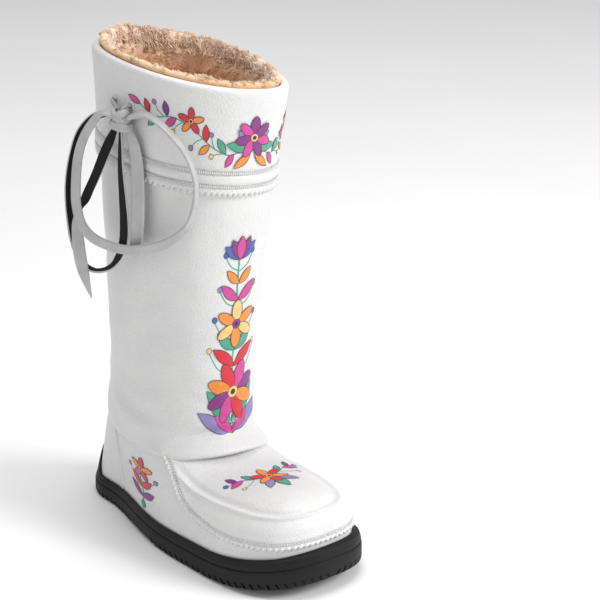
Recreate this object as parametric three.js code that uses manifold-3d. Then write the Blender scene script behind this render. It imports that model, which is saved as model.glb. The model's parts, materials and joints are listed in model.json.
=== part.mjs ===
// Tall winter boot for the right foot, standing empty on its sole.
// Millimetres, +Z up, toe towards -Y, inner (medial) side towards +X.
import * as THREE from 'three';
import Module from 'manifold-3d';

const wasm = await Module();
wasm.setup();

// Driving sizes
const soleLength = 280;
const heelWidth = 81.7;
const ballWidth = 121;
const toeFullness = 2.54;
const toeShift = 3.2;
const waistMedial = 6;
const waistLateral = -6;
const ballAt = 0.7;
const heelRoundAt = 0.15;
const soleHeelHeight = 16.5;
const soleToeHeight = 24.6;
const toeSpring = 11.5;
const archRelief = 1.4;
const cupDepth = 9;
const cupWall = 4.4;
const toeLedge = 3.5;
const gap = 0.3;
const footWall = 2;
const legWall = 2;
const vampSkin = 1.5;
const heelLean = 0.31;
const spineHeelY = 98;
const spineToeY = -94;
const ridgeAt = 0.48;
const ridgeHeight = 1.1;
const legX = 3;
const collarZ = 377.8;
const collarY = 32.1;
const collarTiltBack = 0.076;
const collarTiltSide = -0.144;
const cuffDrop = 81.5;
const rimRoll = 5;
const furRise = 6.5;
const strapWide = 7.4;
const strapThick = 2.2;
const leadWide = 4.2;
const leadThick = 2.4;
const eyeletOuter = 3.3;
const eyeletInner = 1.9;
const eyeletDrop = 31;
const sideSteps = 20;
const legSteps = 36;

// Outline of the sole in plan, walked heel to toe on the lateral side and back on the medial side
function clamp(v, lo, hi) {
  return Math.min(Math.max(v, lo), hi);
}

function smooth(a, b, v) {
  const t = clamp((v - a) / (b - a), 0, 1);
  return t * t * (3 - 2 * t);
}

function table(rows, key, column, at) {
  if (at <= rows[0][key]) return rows[0][column];
  for (let i = 1; i < rows.length; i++) {
    const a = rows[i - 1];
    const b = rows[i];
    if (at > b[key]) continue;
    const p = rows[Math.max(i - 2, 0)];
    const n = rows[Math.min(i + 1, rows.length - 1)];
    const w = b[key] - a[key];
    const t = (at - a[key]) / w;
    const ma = w * (b[column] - p[column]) / (b[key] - p[key]);
    const mb = w * (n[column] - a[column]) / (n[key] - a[key]);
    const t2 = t * t;
    const t3 = t2 * t;
    return (2 * t3 - 3 * t2 + 1) * a[column] + (t3 - 2 * t2 + t) * ma
      + (3 * t2 - 2 * t3) * b[column] + (t3 - t2) * mb;
  }
  return rows[rows.length - 1][column];
}

function halfWidth(s, medial) {
  const waist = medial ? waistMedial : waistLateral;
  const w = ballWidth / 2;
  const h = heelWidth / 2;
  if (s < heelRoundAt) return h * Math.pow(1 - Math.pow((heelRoundAt - s) / heelRoundAt, 2.2), 1 / 2.2);
  if (s > ballAt) {
    return w * Math.pow(Math.max(1 - Math.pow((s - ballAt) / (1 - ballAt), toeFullness), 0), 1 / toeFullness);
  }
  const t = (s - heelRoundAt) / (ballAt - heelRoundAt);
  const k = t * t * (3 - 2 * t);
  return h * (1 - k) + w * k - waist * Math.sin(Math.PI * t) ** 2;
}

function outlinePoint(t) {
  const medial = t > 0.5;
  const s = 0.5 - 0.5 * Math.cos(2 * Math.PI * t);
  const shift = toeShift * clamp((s - 0.45) / 0.55, 0, 1) ** 2;
  const w = halfWidth(s, medial);
  return { s, x: (medial ? w : -w) + shift, y: soleLength / 2 - s * soleLength };
}

function planPoint(t, inset) {
  const u = ((t % 1) + 1) % 1;
  const a = outlinePoint((u - 0.004 + 1) % 1);
  const b = outlinePoint((u + 0.004) % 1);
  const p = outlinePoint(u);
  const n = Math.hypot(b.x - a.x, b.y - a.y);
  return { s: p.s, x: p.x - inset * (b.y - a.y) / n, y: p.y + inset * (b.x - a.x) / n };
}

// Inset of the cup's inner wall, wider round the toe
function seatInset(t) {
  const medial = t > 0.5;
  const s = 0.5 - 0.5 * Math.cos(2 * Math.PI * t);
  return cupWall + toeLedge * smooth(0.72, 0.92, s) * (medial ? 1 : 0.4 + 0.6 * smooth(0.93, 1, s));
}

function springZ(s) {
  return toeSpring * clamp((s - 0.7) / 0.3, 0, 1) ** 1.8;
}

function lipZ(s) {
  return soleHeelHeight + (soleToeHeight - soleHeelHeight) * s + springZ(s);
}

function bottomZ(s) {
  const waist = smooth(0.3, 0.36, s) * (1 - smooth(0.44, 0.5, s));
  return springZ(s) + archRelief * waist;
}

// Closed solids from grids of points
function solid(vertices, triangles) {
  const keys = new Map();
  const points = [];
  const index = vertices.map((p) => {
    const key = p.map((c) => Math.round(c * 2000)).join(',');
    if (!keys.has(key)) {
      keys.set(key, points.length / 3);
      points.push(p[0], p[1], p[2]);
    }
    return keys.get(key);
  });
  const faces = [];
  for (const [a, b, c] of triangles) {
    const i = index[a];
    const j = index[b];
    const k = index[c];
    if (i !== j && j !== k && k !== i) faces.push(i, j, k);
  }
  return new wasm.Manifold(new wasm.Mesh({
    numProp: 3,
    vertProperties: new Float32Array(points),
    triVerts: new Uint32Array(faces),
  }));
}

// Faces between two rows of points; the first row may hold twice the steps of the second
function band(low, high, lowCount, highCount, closed, triangles) {
  const steps = closed ? highCount : highCount - 1;
  const lowStep = lowCount > highCount ? 2 : 1;
  const highStep = highCount > lowCount ? 2 : 1;
  const count = highStep === 2 ? (closed ? lowCount : lowCount - 1) : steps;
  for (let i = 0; i < count; i++) {
    const a = low + (lowStep * i) % lowCount;
    const b = low + (lowStep * (i + 1)) % (closed ? lowCount : lowCount + 1);
    const c = high + (highStep * (i + 1)) % (closed ? highCount : highCount + 1);
    const d = high + (highStep * i) % highCount;
    if (lowStep === 2) {
      triangles.push([a, a + 1, d], [a + 1, b, c], [a + 1, c, d]);
    } else if (highStep === 2) {
      triangles.push([a, d + 1, d], [b, c, d + 1], [a, b, d + 1]);
    } else {
      triangles.push([a, b, c], [a, c, d]);
    }
  }
}

function ringSolid(rings, caps) {
  const starts = [];
  let total = 0;
  for (const row of rings) {
    starts.push(total);
    total += row.length;
  }
  const triangles = [];
  const last = caps ? rings.length - 1 : rings.length;
  for (let r = 0; r < last; r++) {
    const q = (r + 1) % rings.length;
    band(starts[r], starts[q], rings[r].length, rings[q].length, true, triangles);
  }
  if (caps) {
    const n = rings[0].length;
    const top = starts[rings.length - 1];
    for (let i = 0; i < n / 2; i++) {
      const a = i;
      const b = i + 1;
      const c = (n - i - 1) % n;
      const d = (n - i) % n;
      triangles.push([a, c, b], [a, d, c], [top + a, top + b, top + c], [top + a, top + c, top + d]);
    }
  }
  return solid(rings.flat(), triangles);
}

function patchSolid(outer, inner, closeTop) {
  const vertices = [...outer.flat(), ...inner.flat()];
  const base = outer.flat().length;
  const outside = [];
  const triangles = [];
  const wall = (a, b) => triangles.push([a, base + a, base + b], [a, base + b, b]);
  let low = 0;
  for (let r = 0; r < outer.length - 1; r++) {
    const n = outer[r].length;
    const m = outer[r + 1].length;
    band(low, low + n, n, m, false, outside);
    wall(low + n, low);
    wall(low + n - 1, low + n + m - 1);
    low += n;
  }
  for (const [a, b, c] of outside) triangles.push([a, b, c], [base + a, base + c, base + b]);
  for (let i = 0; i < outer[0].length - 1; i++) wall(i, i + 1);
  if (closeTop) for (let i = outer[outer.length - 1].length - 1; i > 0; i--) wall(low + i, low + i - 1);
  return solid(vertices, triangles);
}

function box(wide, deep, high, x, y, z, turn) {
  const c = Math.cos(turn);
  const s = Math.sin(turn);
  const at = (u, v, w) => [x + u * wide * c - v * deep * s, y + u * wide * s + v * deep * c, z + w * high];
  const lower = [at(-0.5, -0.5, 0), at(0.5, -0.5, 0), at(0.5, 0.5, 0), at(-0.5, 0.5, 0)];
  const upper = [at(-0.5, -0.5, 1), at(0.5, -0.5, 1), at(0.5, 0.5, 1), at(-0.5, 0.5, 1)];
  return ringSolid([lower, upper], true);
}

// Foot form: rings rise from the sole line and close on a spine along the top of the foot
const footRows = [
  { s: 0.0, crest: 118, shoulder: 3.6, swell: 2 },
  { s: 0.15, crest: 118, shoulder: 3.4, swell: 7.5 },
  { s: 0.36, crest: 106, shoulder: 3.1, swell: 6 },
  { s: 0.5, crest: 83.5, shoulder: 3.0, swell: 1.5 },
  { s: 0.6, crest: 67.6, shoulder: 3.1, swell: 0 },
  { s: 0.7, crest: 65, shoulder: 2.9, swell: -0.5 },
  { s: 0.78, crest: 67, shoulder: 2.6, swell: -1 },
  { s: 0.836, crest: 67.5, shoulder: 2.5, swell: -1.5 },
  { s: 1.0, crest: 67.5, shoulder: 2.5, swell: -2 },
];

function footPoint(t, v, grow, ridged) {
  const seat = seatInset(((t % 1) + 1) % 1) + gap - grow;
  const base = planPoint(t, seat);
  const s = base.s;
  const spineY = clamp(soleLength * (0.5 - s), spineToeY, spineHeelY);
  const spineS = (soleLength / 2 - spineY) / soleLength;
  const mid = toeShift * clamp((spineS - 0.45) / 0.55, 0, 1) ** 2;
  const half = (halfWidth(spineS, true) - halfWidth(spineS, false)) / 2;
  const spineX = mid + half + 3 * smooth(0.4, 0.6, spineS) * (1 - smooth(0.7, 0.84, spineS));
  if (v < 0) return [base.x, base.y, lipZ(s) + v * (cupDepth - gap)];
  const crest = table(footRows, 's', 'crest', spineS) + grow;
  const power = table(footRows, 's', 'shoulder', s);
  const angle = v * Math.PI / 2;
  const inward = v >= 1 ? 1 : 1 - Math.pow(Math.cos(angle), 2 / power);
  const upward = v >= 1 ? 1 : Math.pow(Math.sin(angle), 2 / power);
  const ridge = ridged ? ridgeHeight * Math.exp(-(((v - ridgeAt) / 0.035) ** 2)) * smooth(0.5, 0.58, s) : 0;
  const out = table(footRows, 's', 'swell', s) * Math.sin(2 * angle) + ridge;
  const rim = out ? planPoint(t, seat - out) : base;
  const low = lipZ(s);
  const rise = (crest - low) * upward + ridge * 0.8;
  const lean = heelLean * rise * (1 - smooth(0.0, 0.34, s));
  const x = rim.x + (spineX - rim.x) * inward;
  const y = rim.y + (spineY - rim.y) * inward - lean;
  return [x, y, low + rise];
}

const footLevels = [-1, 0, 0.1, 0.2, 0.32, 0.43, 0.48, 0.53, 0.64, 0.8, 1];
const stations = [...Array(2 * sideSteps).keys()].map((i) => i / (2 * sideSteps));

function footForm(grow, levels) {
  return ringSolid(levels.map((v) => stations.map((t) => footPoint(t, v, grow))), true);
}

// Leg form: oval rings from the hem over the foot to the collar, t = 0 at the back, 0.5 at the front
const legRows = [
  { z: 60, y: 50.6, wide: 51, deep: 66.5 },
  { z: 130, y: 47.7, wide: 49.5, deep: 64.8 },
  { z: 190, y: 45.4, wide: 52.4, deep: 68.4 },
  { z: 254, y: 42, wide: 55.6, deep: 72 },
  { z: 316, y: 37.6, wide: 58.3, deep: 76 },
  { z: 362, y: 33.5, wide: 60.6, deep: 79.8 },
  { z: 378, y: 32.5, wide: 61.6, deep: 81.4 },
];
const hemRows = [
  { t: 0.0, z: 84 },
  { t: 0.1, z: 80 },
  { t: 0.2, z: 71.5 },
  { t: 0.27, z: 69 },
  { t: 0.36, z: 70.5 },
  { t: 0.43, z: 73.5 },
  { t: 0.5, z: 73 },
  { t: 0.57, z: 68.5 },
  { t: 0.64, z: 62 },
  { t: 0.73, z: 64 },
  { t: 0.8, z: 70.5 },
  { t: 0.9, z: 80 },
  { t: 1.0, z: 84 },
];
const puffRows = [
  { up: 0, back: 0.5, side: -2.5, front: 7 },
  { up: 4, back: 2, side: 1.5, front: 12.5 },
  { up: 9, back: 2.5, side: 3, front: 7.5 },
  { up: 17, back: 2.4, side: 3.4, front: 0.5 },
  { up: 26, back: 2, side: 2.8, front: 0.3 },
  { up: 42, back: 1, side: 1, front: 0 },
  { up: 90, back: 0, side: 0, front: 0 },
];

function hemZ(t) {
  return table(hemRows, 't', 'z', t);
}

function collarPlane(x, y) {
  return collarZ + collarTiltBack * (y - collarY) + collarTiltSide * (x - legX);
}

function legAt(t, z, grow) {
  const a = 2 * Math.PI * t;
  const wide = table(legRows, 'z', 'wide', z) + grow;
  const deep = table(legRows, 'z', 'deep', z) + grow;
  const sx = Math.sign(Math.sin(a)) * Math.pow(Math.abs(Math.sin(a)), 0.92);
  const sy = Math.sign(Math.cos(a)) * Math.pow(Math.abs(Math.cos(a)), 0.92);
  return [legX - wide * sx, table(legRows, 'z', 'y', z) + deep * sy];
}

function rimZ(t) {
  const [x, y] = legAt(t, collarZ, 0);
  return collarPlane(x, y);
}

function legPointAt(t, z, grow) {
  const hem = hemZ(t);
  const blend = (z - hem) / (rimZ(t) - hem);
  const [x, y] = legAt(t, hem + (collarZ - hem) * blend, grow);
  return [x, y, z];
}

function legPoint(t, drop, grow) {
  return legPointAt(t, rimZ(t) - drop, grow);
}

function skirtPoint(t, up, grow) {
  const facing = -Math.cos(2 * Math.PI * t);
  const frontness = smooth(0.0, 0.86, facing);
  const backness = smooth(0.2, 0.96, -facing);
  const puff = table(puffRows, 'up', 'side', up) * (1 - frontness) * (1 - backness)
    + table(puffRows, 'up', 'front', up) * frontness
    + table(puffRows, 'up', 'back', up) * backness;
  return legPointAt(t, hemZ(t) + up, puff + grow);
}

const legStations = [...Array(legSteps).keys()].map((i) => i / legSteps);
const teethStations = [...Array(2 * legSteps).keys()].map((i) => i / (2 * legSteps));

function ring(steps, make) {
  return steps.map((t) => make(t));
}

const mm = {
  rubber: new THREE.MeshStandardMaterial({ color: 0x1b1b1c, roughness: 0.7 }),
  leather: new THREE.MeshStandardMaterial({ color: 0xe4e3e1, roughness: 0.45 }),
  felt: new THREE.MeshStandardMaterial({ color: 0xc9b08f, roughness: 0.95 }),
  fleece: new THREE.MeshStandardMaterial({ color: 0xd3a982, roughness: 0.95 }),
  strap: new THREE.MeshStandardMaterial({ color: 0xb9b9b9, roughness: 0.5 }),
  metal: new THREE.MeshStandardMaterial({ color: 0xd8d8d8, roughness: 0.3, metalness: 0.9 }),
};

const group = new THREE.Group();
const cordNames = new Set();

function add(name, body, material) {
  const mesh = body.getMesh();
  const geometry = new THREE.BufferGeometry();
  geometry.setAttribute('position', new THREE.BufferAttribute(new Float32Array(mesh.vertProperties), 3));
  geometry.setIndex(new THREE.BufferAttribute(new Uint32Array(mesh.triVerts), 1));
  geometry.computeVertexNormals();
  const node = new THREE.Mesh(geometry, material);
  node.name = name;
  group.add(node);
  return node;
}

// Cup sole: rounded foot, textured wall, one groove, bevelled lip, a recess for the upper
const soleRows = [
  { inset: 1.6, rise: 0 },
  { inset: 0.3, rise: 0.07 },
  { inset: 0, rise: 0.2 },
  { inset: 0.2, rise: 0.6 },
  { inset: 1.3, rise: 0.655 },
  { inset: 0.7, rise: 0.71 },
  { inset: 1.9, rise: 0.9 },
];

function soleRing(inset, rise) {
  return ring(stations, (t) => {
    const p = planPoint(t, inset + (inset >= 3 ? seatInset(t) - cupWall : 0));
    return [p.x, p.y, bottomZ(p.s) + (lipZ(p.s) - bottomZ(p.s)) * rise];
  });
}

function floorRing(inset, up) {
  return ring(stations, (t) => {
    const p = planPoint(t, inset + seatInset(t) - cupWall);
    return [p.x, p.y, lipZ(p.s) - cupDepth + up];
  });
}

let outsole = ringSolid([
  ...soleRows.map((row) => soleRing(row.inset, row.rise)),
  soleRing(3.2, 1),
  soleRing(cupWall, 1),
  floorRing(cupWall, 0),
], true);

// Back guard of the cup, standing up the heel and thinning to both sides
const guardSpan = [...Array(11).keys()].map((i) => (i - 5) / (2 * sideSteps));

function guardLevel(t, part) {
  const top = 0.078 * (1 - smooth(0.015, 0.1, Math.abs(t)));
  return part < 0 ? -0.28 : part * top;
}

function guardGrid(grow) {
  return [-1, 0, 0.35, 0.7, 1].map((part) => guardSpan.map((t) => {
    const slim = grow > 1 ? grow - 0.9 * Math.max(part, 0) : grow;
    return footPoint(t, guardLevel(t, part), slim);
  }));
}

const footClear = footForm(gap, footLevels);
outsole = outsole.add(patchSolid(guardGrid(2.6), guardGrid(-0.8), true).subtract(footClear));

// Cross grooves between the main lugs, and slanted notches up the side wall of the forefoot
const lugRows = [
  { from: 0.06, to: 0.3, count: 5, turn: 0.1 },
  { from: 0.5, to: 0.93, count: 9, turn: -0.12 },
];
for (const row of lugRows) {
  for (let i = 0; i < row.count; i++) {
    const s = row.from + (row.to - row.from) * i / (row.count - 1);
    const y = soleLength / 2 - s * soleLength;
    outsole = outsole.subtract(box(150, 3.4, 3 + 4 + bottomZ(s), 0, y, -4, row.turn));
  }
}
const notchRows = [
  { from: 0.52, to: 0.9, count: 10 },
];
for (const row of notchRows) {
  for (let i = 0; i < row.count; i++) {
    const s = row.from + (row.to - row.from) * i / (row.count - 1);
    for (const medial of [false, true]) {
      const t = Math.acos(1 - 2 * s) / (2 * Math.PI);
      const p = planPoint(medial ? 1 - t : t, 0.2);
      const turn = Math.atan2(p.y + 40, p.x) * (s > 0.75 ? 1 : 0);
      outsole = outsole.subtract(box(4, 1.7, 7.5, p.x, p.y, bottomZ(s) - 1, turn));
    }
  }
}
add('outsole', outsole, mm.rubber);

// Insole resting in the cup inside the upper
const insoleIn = cupWall + gap + footWall + gap;
add('insole', ringSolid([
  floorRing(insoleIn + 0.4, gap),
  floorRing(insoleIn, gap + 1),
  floorRing(insoleIn, gap + 3.4),
  floorRing(insoleIn + 2.5, gap + 4.4),
], true), mm.felt);

// Hollow foot upper, open to the cup below and to the leg above
const innerLevels = [-1, 0, 0.12, 0.3, 0.43, 0.6, 0.8, 1];
const hole = ringSolid([73, 200].map((z) => ring(legStations, (t) => {
  const [x, y] = legAt(t, 130, -9);
  return [x, y, z];
})), true);
const footOuter = footForm(0, footLevels);
const footInner = footForm(-footWall, innerLevels);
const drop = footForm(-footWall, [-1, 0]).translate([0, 0, -1.5]);
const ceiling = box(300, 400, 100, 0, 0, 100, 0);
add('upper', footOuter.subtract(footInner).subtract(drop).subtract(hole).subtract(ceiling), mm.leather);

// Vamp panel over the toe and instep with a pinked lower edge
const vampRows = [
  { s: 0.4, v: 0.62 },
  { s: 0.518, v: 0.42 },
  { s: 0.61, v: 0.229 },
  { s: 0.736, v: 0.148 },
  { s: 0.857, v: 0.114 },
  { s: 1.0, v: 0.055 },
];
const vampFrom = 9 / (2 * sideSteps);
const vampSteps = 2 * sideSteps - 18;
const vampStations = [...Array(vampSteps + 1).keys()].map((i) => vampFrom + i / (2 * sideSteps));
const vampEdge = [...Array(2 * vampSteps + 1).keys()].map((i) => vampFrom + i / (4 * sideSteps));

function vampLow(t) {
  return table(vampRows, 's', 'v', 0.5 - 0.5 * Math.cos(2 * Math.PI * t));
}

function vampGrid(grow, slack) {
  const edge = vampEdge.map((t, i) => footPoint(t, vampLow(t) - slack - (i % 2) * 0.018, grow, true));
  const rows = footLevels.slice(2).map((level) => vampStations.map((t) => {
    return footPoint(t, Math.max(level, vampLow(t) - slack), grow, true);
  }));
  return [edge, ...rows];
}

const vamp = patchSolid(vampGrid(gap + vampSkin, 0), vampGrid(gap - 0.1, 0), false);
add('vamp', vamp.subtract(footClear).subtract(hole), mm.leather);

// Raised seams down both sides of the heel
function seamBody(side, slack) {
  const half = 0.0022 + slack * 0.0015;
  const grid = (grow) => [0.0003, 0.05, 0.12, 0.2, 0.28, 0.34].map((v) => [-1, 0, 1].map((d) => {
    const t = side * (0.158 - 0.085 * v) + d * half;
    return footPoint(t, v, d !== 0 ? grow - 0.7 : grow);
  }));
  return patchSolid(grid(gap + 1.2 + slack), grid(-0.5), true);
}

add('heel_seam_lateral', seamBody(1, 0).subtract(footClear), mm.leather);
add('heel_seam_medial', seamBody(-1, 0).subtract(footClear), mm.leather);

// Leg: hollow shaft whose hem puffs out and turns under onto the foot
const skirtUps = [0, 4, 9, 17, 26, 42, 90];
const upperDrops = [200, 150, 100, 50];
const hemTurn = 22;

function legShell(slack) {
  const top = rimRoll - slack;
  const inside = -legWall - slack;
  return ringSolid([
    ring(legStations, (t) => skirtPoint(t, 0, -hemTurn)),
    ...skirtUps.map((up) => ring(legStations, (t) => skirtPoint(t, up, slack))),
    ...[...upperDrops, top].map((d) => ring(legStations, (t) => legPoint(t, d, slack))),
    ...[top, ...upperDrops.toReversed()].map((d) => ring(legStations, (t) => legPoint(t, d, inside))),
    ...[90, 42, 17, 4.5].map((up) => ring(legStations, (t) => skirtPoint(t, up, inside))),
    ring(legStations, (t) => skirtPoint(t, 2.4, inside - 2)),
    ring(legStations, (t) => skirtPoint(t, 2.4, -hemTurn)),
  ], false);
}

let shaft = legShell(0);
const vampClear = patchSolid(vampGrid(2 * gap + vampSkin, 0.02), vampGrid(-0.6, 0.02), false);
shaft = shaft.subtract(footClear).subtract(vampClear).subtract(seamBody(1, gap)).subtract(seamBody(-1, gap));
add('shaft', shaft, mm.leather);

// Cuff: overlay folded over the top edge of the leg, raised band and pinked edge below
const cuffRows = [
  { drop: cuffDrop, out: gap + 1.3, tooth: 3 },
  { drop: cuffDrop - 5, out: gap + 2.3, tooth: 0 },
  { drop: cuffDrop - 11, out: gap + 2.3, tooth: 0 },
  { drop: cuffDrop - 13, out: gap + 1.6, tooth: 0 },
  { drop: 40, out: gap + 1.7, tooth: 0 },
  { drop: 12, out: gap + 2.4, tooth: 0 },
  { drop: 4, out: gap + 2.6, tooth: 0 },
  { drop: 0.6, out: gap + 1, tooth: 0 },
  { drop: 0, out: -1.2, tooth: 0 },
  { drop: 0.9, out: -3.2, tooth: 0 },
  { drop: 4, out: -4, tooth: 0 },
  { drop: 10, out: -4, tooth: 0 },
  { drop: 10, out: -legWall - gap, tooth: 0 },
  { drop: rimRoll - gap, out: -legWall - gap, tooth: 0 },
  { drop: rimRoll - gap, out: gap, tooth: 0 },
  { drop: 50, out: gap, tooth: 0 },
  { drop: cuffDrop, out: gap, tooth: 3 },
];
const cuffGrid = cuffRows.map((row) => ring(row.tooth ? teethStations : legStations, (t) => {
  const tooth = row.tooth * (Math.round(t * 2 * legSteps) % 2);
  const [x] = legAt(t, collarZ - row.drop, 0);
  const low = row.drop > 50 ? 0.045 * x : 0;
  return legPoint(t, row.drop + tooth - low, row.out);
}));
add('cuff', ringSolid(cuffGrid, false), mm.leather);

// Fleece lining: soft ring that lines the leg and stands ragged above the rim
const liningRows = [
  { drop: 200, out: -2.4, wave: 0 },
  { drop: 150, out: -2.4, wave: 0 },
  { drop: 100, out: -2.4, wave: 0 },
  { drop: 50, out: -2.4, wave: 0 },
  { drop: 12, out: -2.4, wave: 0 },
  { drop: 11, out: -4.6, wave: 0 },
  { drop: 1, out: -4.6, wave: 0.1 },
  { drop: -3.5, out: -3.2, wave: 0.6 },
  { drop: -furRise, out: -7, wave: 1 },
  { drop: -2, out: -11, wave: 1 },
  { drop: 7, out: -13.5, wave: 0.7 },
  { drop: 30, out: -12.5, wave: 0.6 },
  { drop: 120, out: -10, wave: 0.4 },
  { drop: 200, out: -9, wave: 0 },
];
const liningGrid = liningRows.map((row, r) => legStations.map((t, i) => {
  const lock = Math.sin(i * 2.4 + r) + 0.6 * Math.sin(i * 0.9 + 2 * r);
  return legPoint(t, row.drop - row.wave * lock * 0.9, row.out - row.wave * Math.abs(lock) * 0.5);
}));
add('lining', ringSolid(liningGrid, false), mm.fleece);

// Eyelet rings on the lateral side of the cuff; the leg's arc there runs about 490 mm per turn
const eyeletArc = 490;
const ringSteps = [...Array(12).keys()].map((i) => 2 * Math.PI * i / 12);

function eyelet(t0) {
  const rows = [
    { radius: eyeletInner, out: 2.65 },
    { radius: eyeletInner + 0.3, out: 3.6 },
    { radius: eyeletOuter - 0.3, out: 3.6 },
    { radius: eyeletOuter, out: 2.65 },
  ];
  return ringSolid(rows.map((row) => ring(ringSteps, (a) => {
    return legPoint(t0 + row.radius * Math.cos(a) / eyeletArc, eyeletDrop + row.radius * Math.sin(a), row.out);
  })), false);
}

add('eyelet_back', eyelet(0.2363), mm.metal);
add('eyelet_front', eyelet(0.2705), mm.metal);

// Tie: a flat leather strap through both eyelets, knotted in two loops with two tails
const knotAt = [-66.6, 25, 344.5];
const knotRows = [
  { up: -8.2, deep: 3, wide: 5.5 },
  { up: -6.4, deep: 5.2, wide: 8.6 },
  { up: -2.5, deep: 6.2, wide: 10 },
  { up: -1.6, deep: 5.4, wide: 9 },
  { up: 2, deep: 5.9, wide: 9.6 },
  { up: 6, deep: 5, wide: 7.6 },
  { up: 8.2, deep: 2.6, wide: 4 },
];

function knotForm(grow) {
  const last = knotRows.length - 1;
  return ringSolid(knotRows.map((row, r) => ring(ringSteps, (a) => [
    knotAt[0] + (row.deep + grow) * Math.cos(a),
    knotAt[1] + (row.wide + grow) * Math.sin(a),
    knotAt[2] + row.up + (r === 0 ? -grow : 0) + (r === last ? grow : 0),
  ])), true);
}

class StrapPath extends THREE.CatmullRomCurve3 {
  constructor(points, facing, turn) {
    super(points, false, 'centripetal');
    this.facing = facing;
    this.turn = turn;
  }

  computeFrenetFrames(steps) {
    const frames = { tangents: [], normals: [], binormals: [] };
    for (let i = 0; i <= steps; i++) {
      const tangent = this.getTangentAt(i / steps).normalize();
      const level = this.facing.clone().addScaledVector(tangent, -tangent.dot(this.facing)).normalize();
      const across = new THREE.Vector3().crossVectors(tangent, level);
      const normal = level.multiplyScalar(Math.cos(this.turn)).addScaledVector(across, Math.sin(this.turn));
      frames.tangents.push(tangent);
      frames.normals.push(normal);
      frames.binormals.push(new THREE.Vector3().crossVectors(tangent, normal));
    }
    return frames;
  }
}

const knotClear = knotForm(gap + 0.05);

function strap(name, points, facing, turn, steps, thick, wide) {
  const corners = [
    [0.5, -0.25], [0.5, 0.25], [0.25, 0.5], [-0.25, 0.5],
    [-0.5, 0.25], [-0.5, -0.25], [-0.25, -0.5], [0.25, -0.5],
  ];
  const section = new THREE.Shape(corners.map(([a, b]) => {
    const flat = Math.abs(b) > 0.3 ? b : b * 1.5;
    return new THREE.Vector2(a * thick, flat * wide);
  }));
  const route = points.map((p) => new THREE.Vector3(...p));
  const path = new StrapPath(route, new THREE.Vector3(...facing), turn);
  const tube = new THREE.ExtrudeGeometry(section, { steps, bevelEnabled: false, extrudePath: path });
  const place = tube.getAttribute('position');
  const vertices = [];
  const triangles = [];
  for (let i = 0; i < place.count; i++) vertices.push([place.getX(i), place.getY(i), place.getZ(i)]);
  for (let i = 0; i < place.count; i += 3) triangles.push([i, i + 1, i + 2]);
  add(name, solid(vertices, triangles).subtract(knotClear), mm.strap);
  cordNames.add(name);
}

const loopFront = [
  [-70, 28, 347.5], [-74.6, 37, 349.2], [-77.9, 44.2, 342.2], [-81, 52.8, 328.6], [-83.1, 58.6, 312.3],
  [-84.1, 61.3, 290.7], [-84.2, 61.4, 274.9], [-82.8, 57.6, 259.7], [-79.5, 48.7, 251], [-74.8, 35.8, 246.9],
  [-69.5, 21.2, 246], [-64.2, 6.6, 248.7], [-58.3, -9.6, 254.4], [-53.3, -23.5, 264], [-49.6, -33.7, 275.8],
  [-47.6, -39.1, 292.1], [-47.2, -40.2, 305.9], [-48.3, -37.1, 319], [-50.5, -31.2, 330.1],
  [-54.1, -21.2, 340.6], [-58.5, -9.1, 350], [-62.3, 1.4, 353.4], [-65.4, 9.8, 351], [-66.4, 17.5, 347.4],
];
const loopBack = [
  [-64.8, 30, 344], [-66.4, 37, 346.5], [-69, 44.5, 346.2], [-72.4, 54.1, 341.3], [-76.1, 64.1, 329.3],
  [-78.5, 70.8, 311.9], [-80.2, 75.3, 291.5], [-80.6, 76.5, 269.8], [-80, 74.7, 246], [-77.8, 68.8, 227.7],
  [-74.3, 59.2, 221.3], [-70.5, 48.6, 222.3], [-66.9, 38.8, 228.4], [-64.1, 31.1, 238.7], [-62.7, 27.3, 252.1],
  [-62.5, 26.8, 268.1], [-63.2, 27.1, 285.4], [-64.3, 27.3, 304.3], [-65.6, 26.2, 321.9], [-66.2, 25, 339],
];
const tailLong = [
  [-67.8, 30, 340], [-69.6, 35, 329], [-71.8, 41.5, 315], [-74.2, 48.6, 299], [-77.6, 58, 280],
  [-80.6, 66.1, 261.1], [-81.6, 64.6, 244.5], [-81.8, 59.8, 224.3], [-78.9, 52.8, 200.4],
];
const tailShort = [
  [-65.2, 19, 341], [-63.6, 15, 331], [-62.6, 13.8, 320], [-61.6, 13.8, 308.4], [-61.6, 13.9, 287.5],
  [-61.9, 14.9, 265.4], [-62.8, 17.2, 242.1],
];
const leadBack = [[-61, 42.4, 356.3], [-62.9, 42.3, 356.6], [-64, 39, 355.6], [-64.2, 33.5, 351.6], [-65, 28, 346]];
const leadFront = [[-60.9, 21.9, 355.6], [-63, 21.9, 355.9], [-65.6, 22.2, 354.6], [-66.6, 23, 350], [-66.6, 24, 346]];
const outward = [-0.94, -0.342, 0];

add('tie_knot', knotForm(0), mm.strap);
cordNames.add('tie_knot');
strap('tie_loop_front', loopFront, outward, 0.7, 28, strapThick, strapWide);
strap('tie_loop_back', loopBack, outward, -0.96, 26, strapThick, strapWide);
strap('tie_tail_long', tailLong, outward, 0, 11, strapThick, strapWide);
strap('tie_tail_short', tailShort, outward, 0, 8, strapThick, strapWide);
strap('tie_lead_back', leadBack, [0, 1, 0.2], 1.4, 5, leadThick, leadWide);
strap('tie_lead_front', leadFront, [0, 1, 0.2], 1.4, 5, leadThick, leadWide);

// Origin at the middle of the footprint's box, on the floor
const extent = new THREE.Box3();
for (const node of group.children) {
  if (!cordNames.has(node.name)) extent.expandByObject(node);
}
const middle = extent.getCenter(new THREE.Vector3());
for (const node of group.children) node.geometry.translate(-middle.x, -middle.y, -extent.min.z);

export default group;
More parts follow.
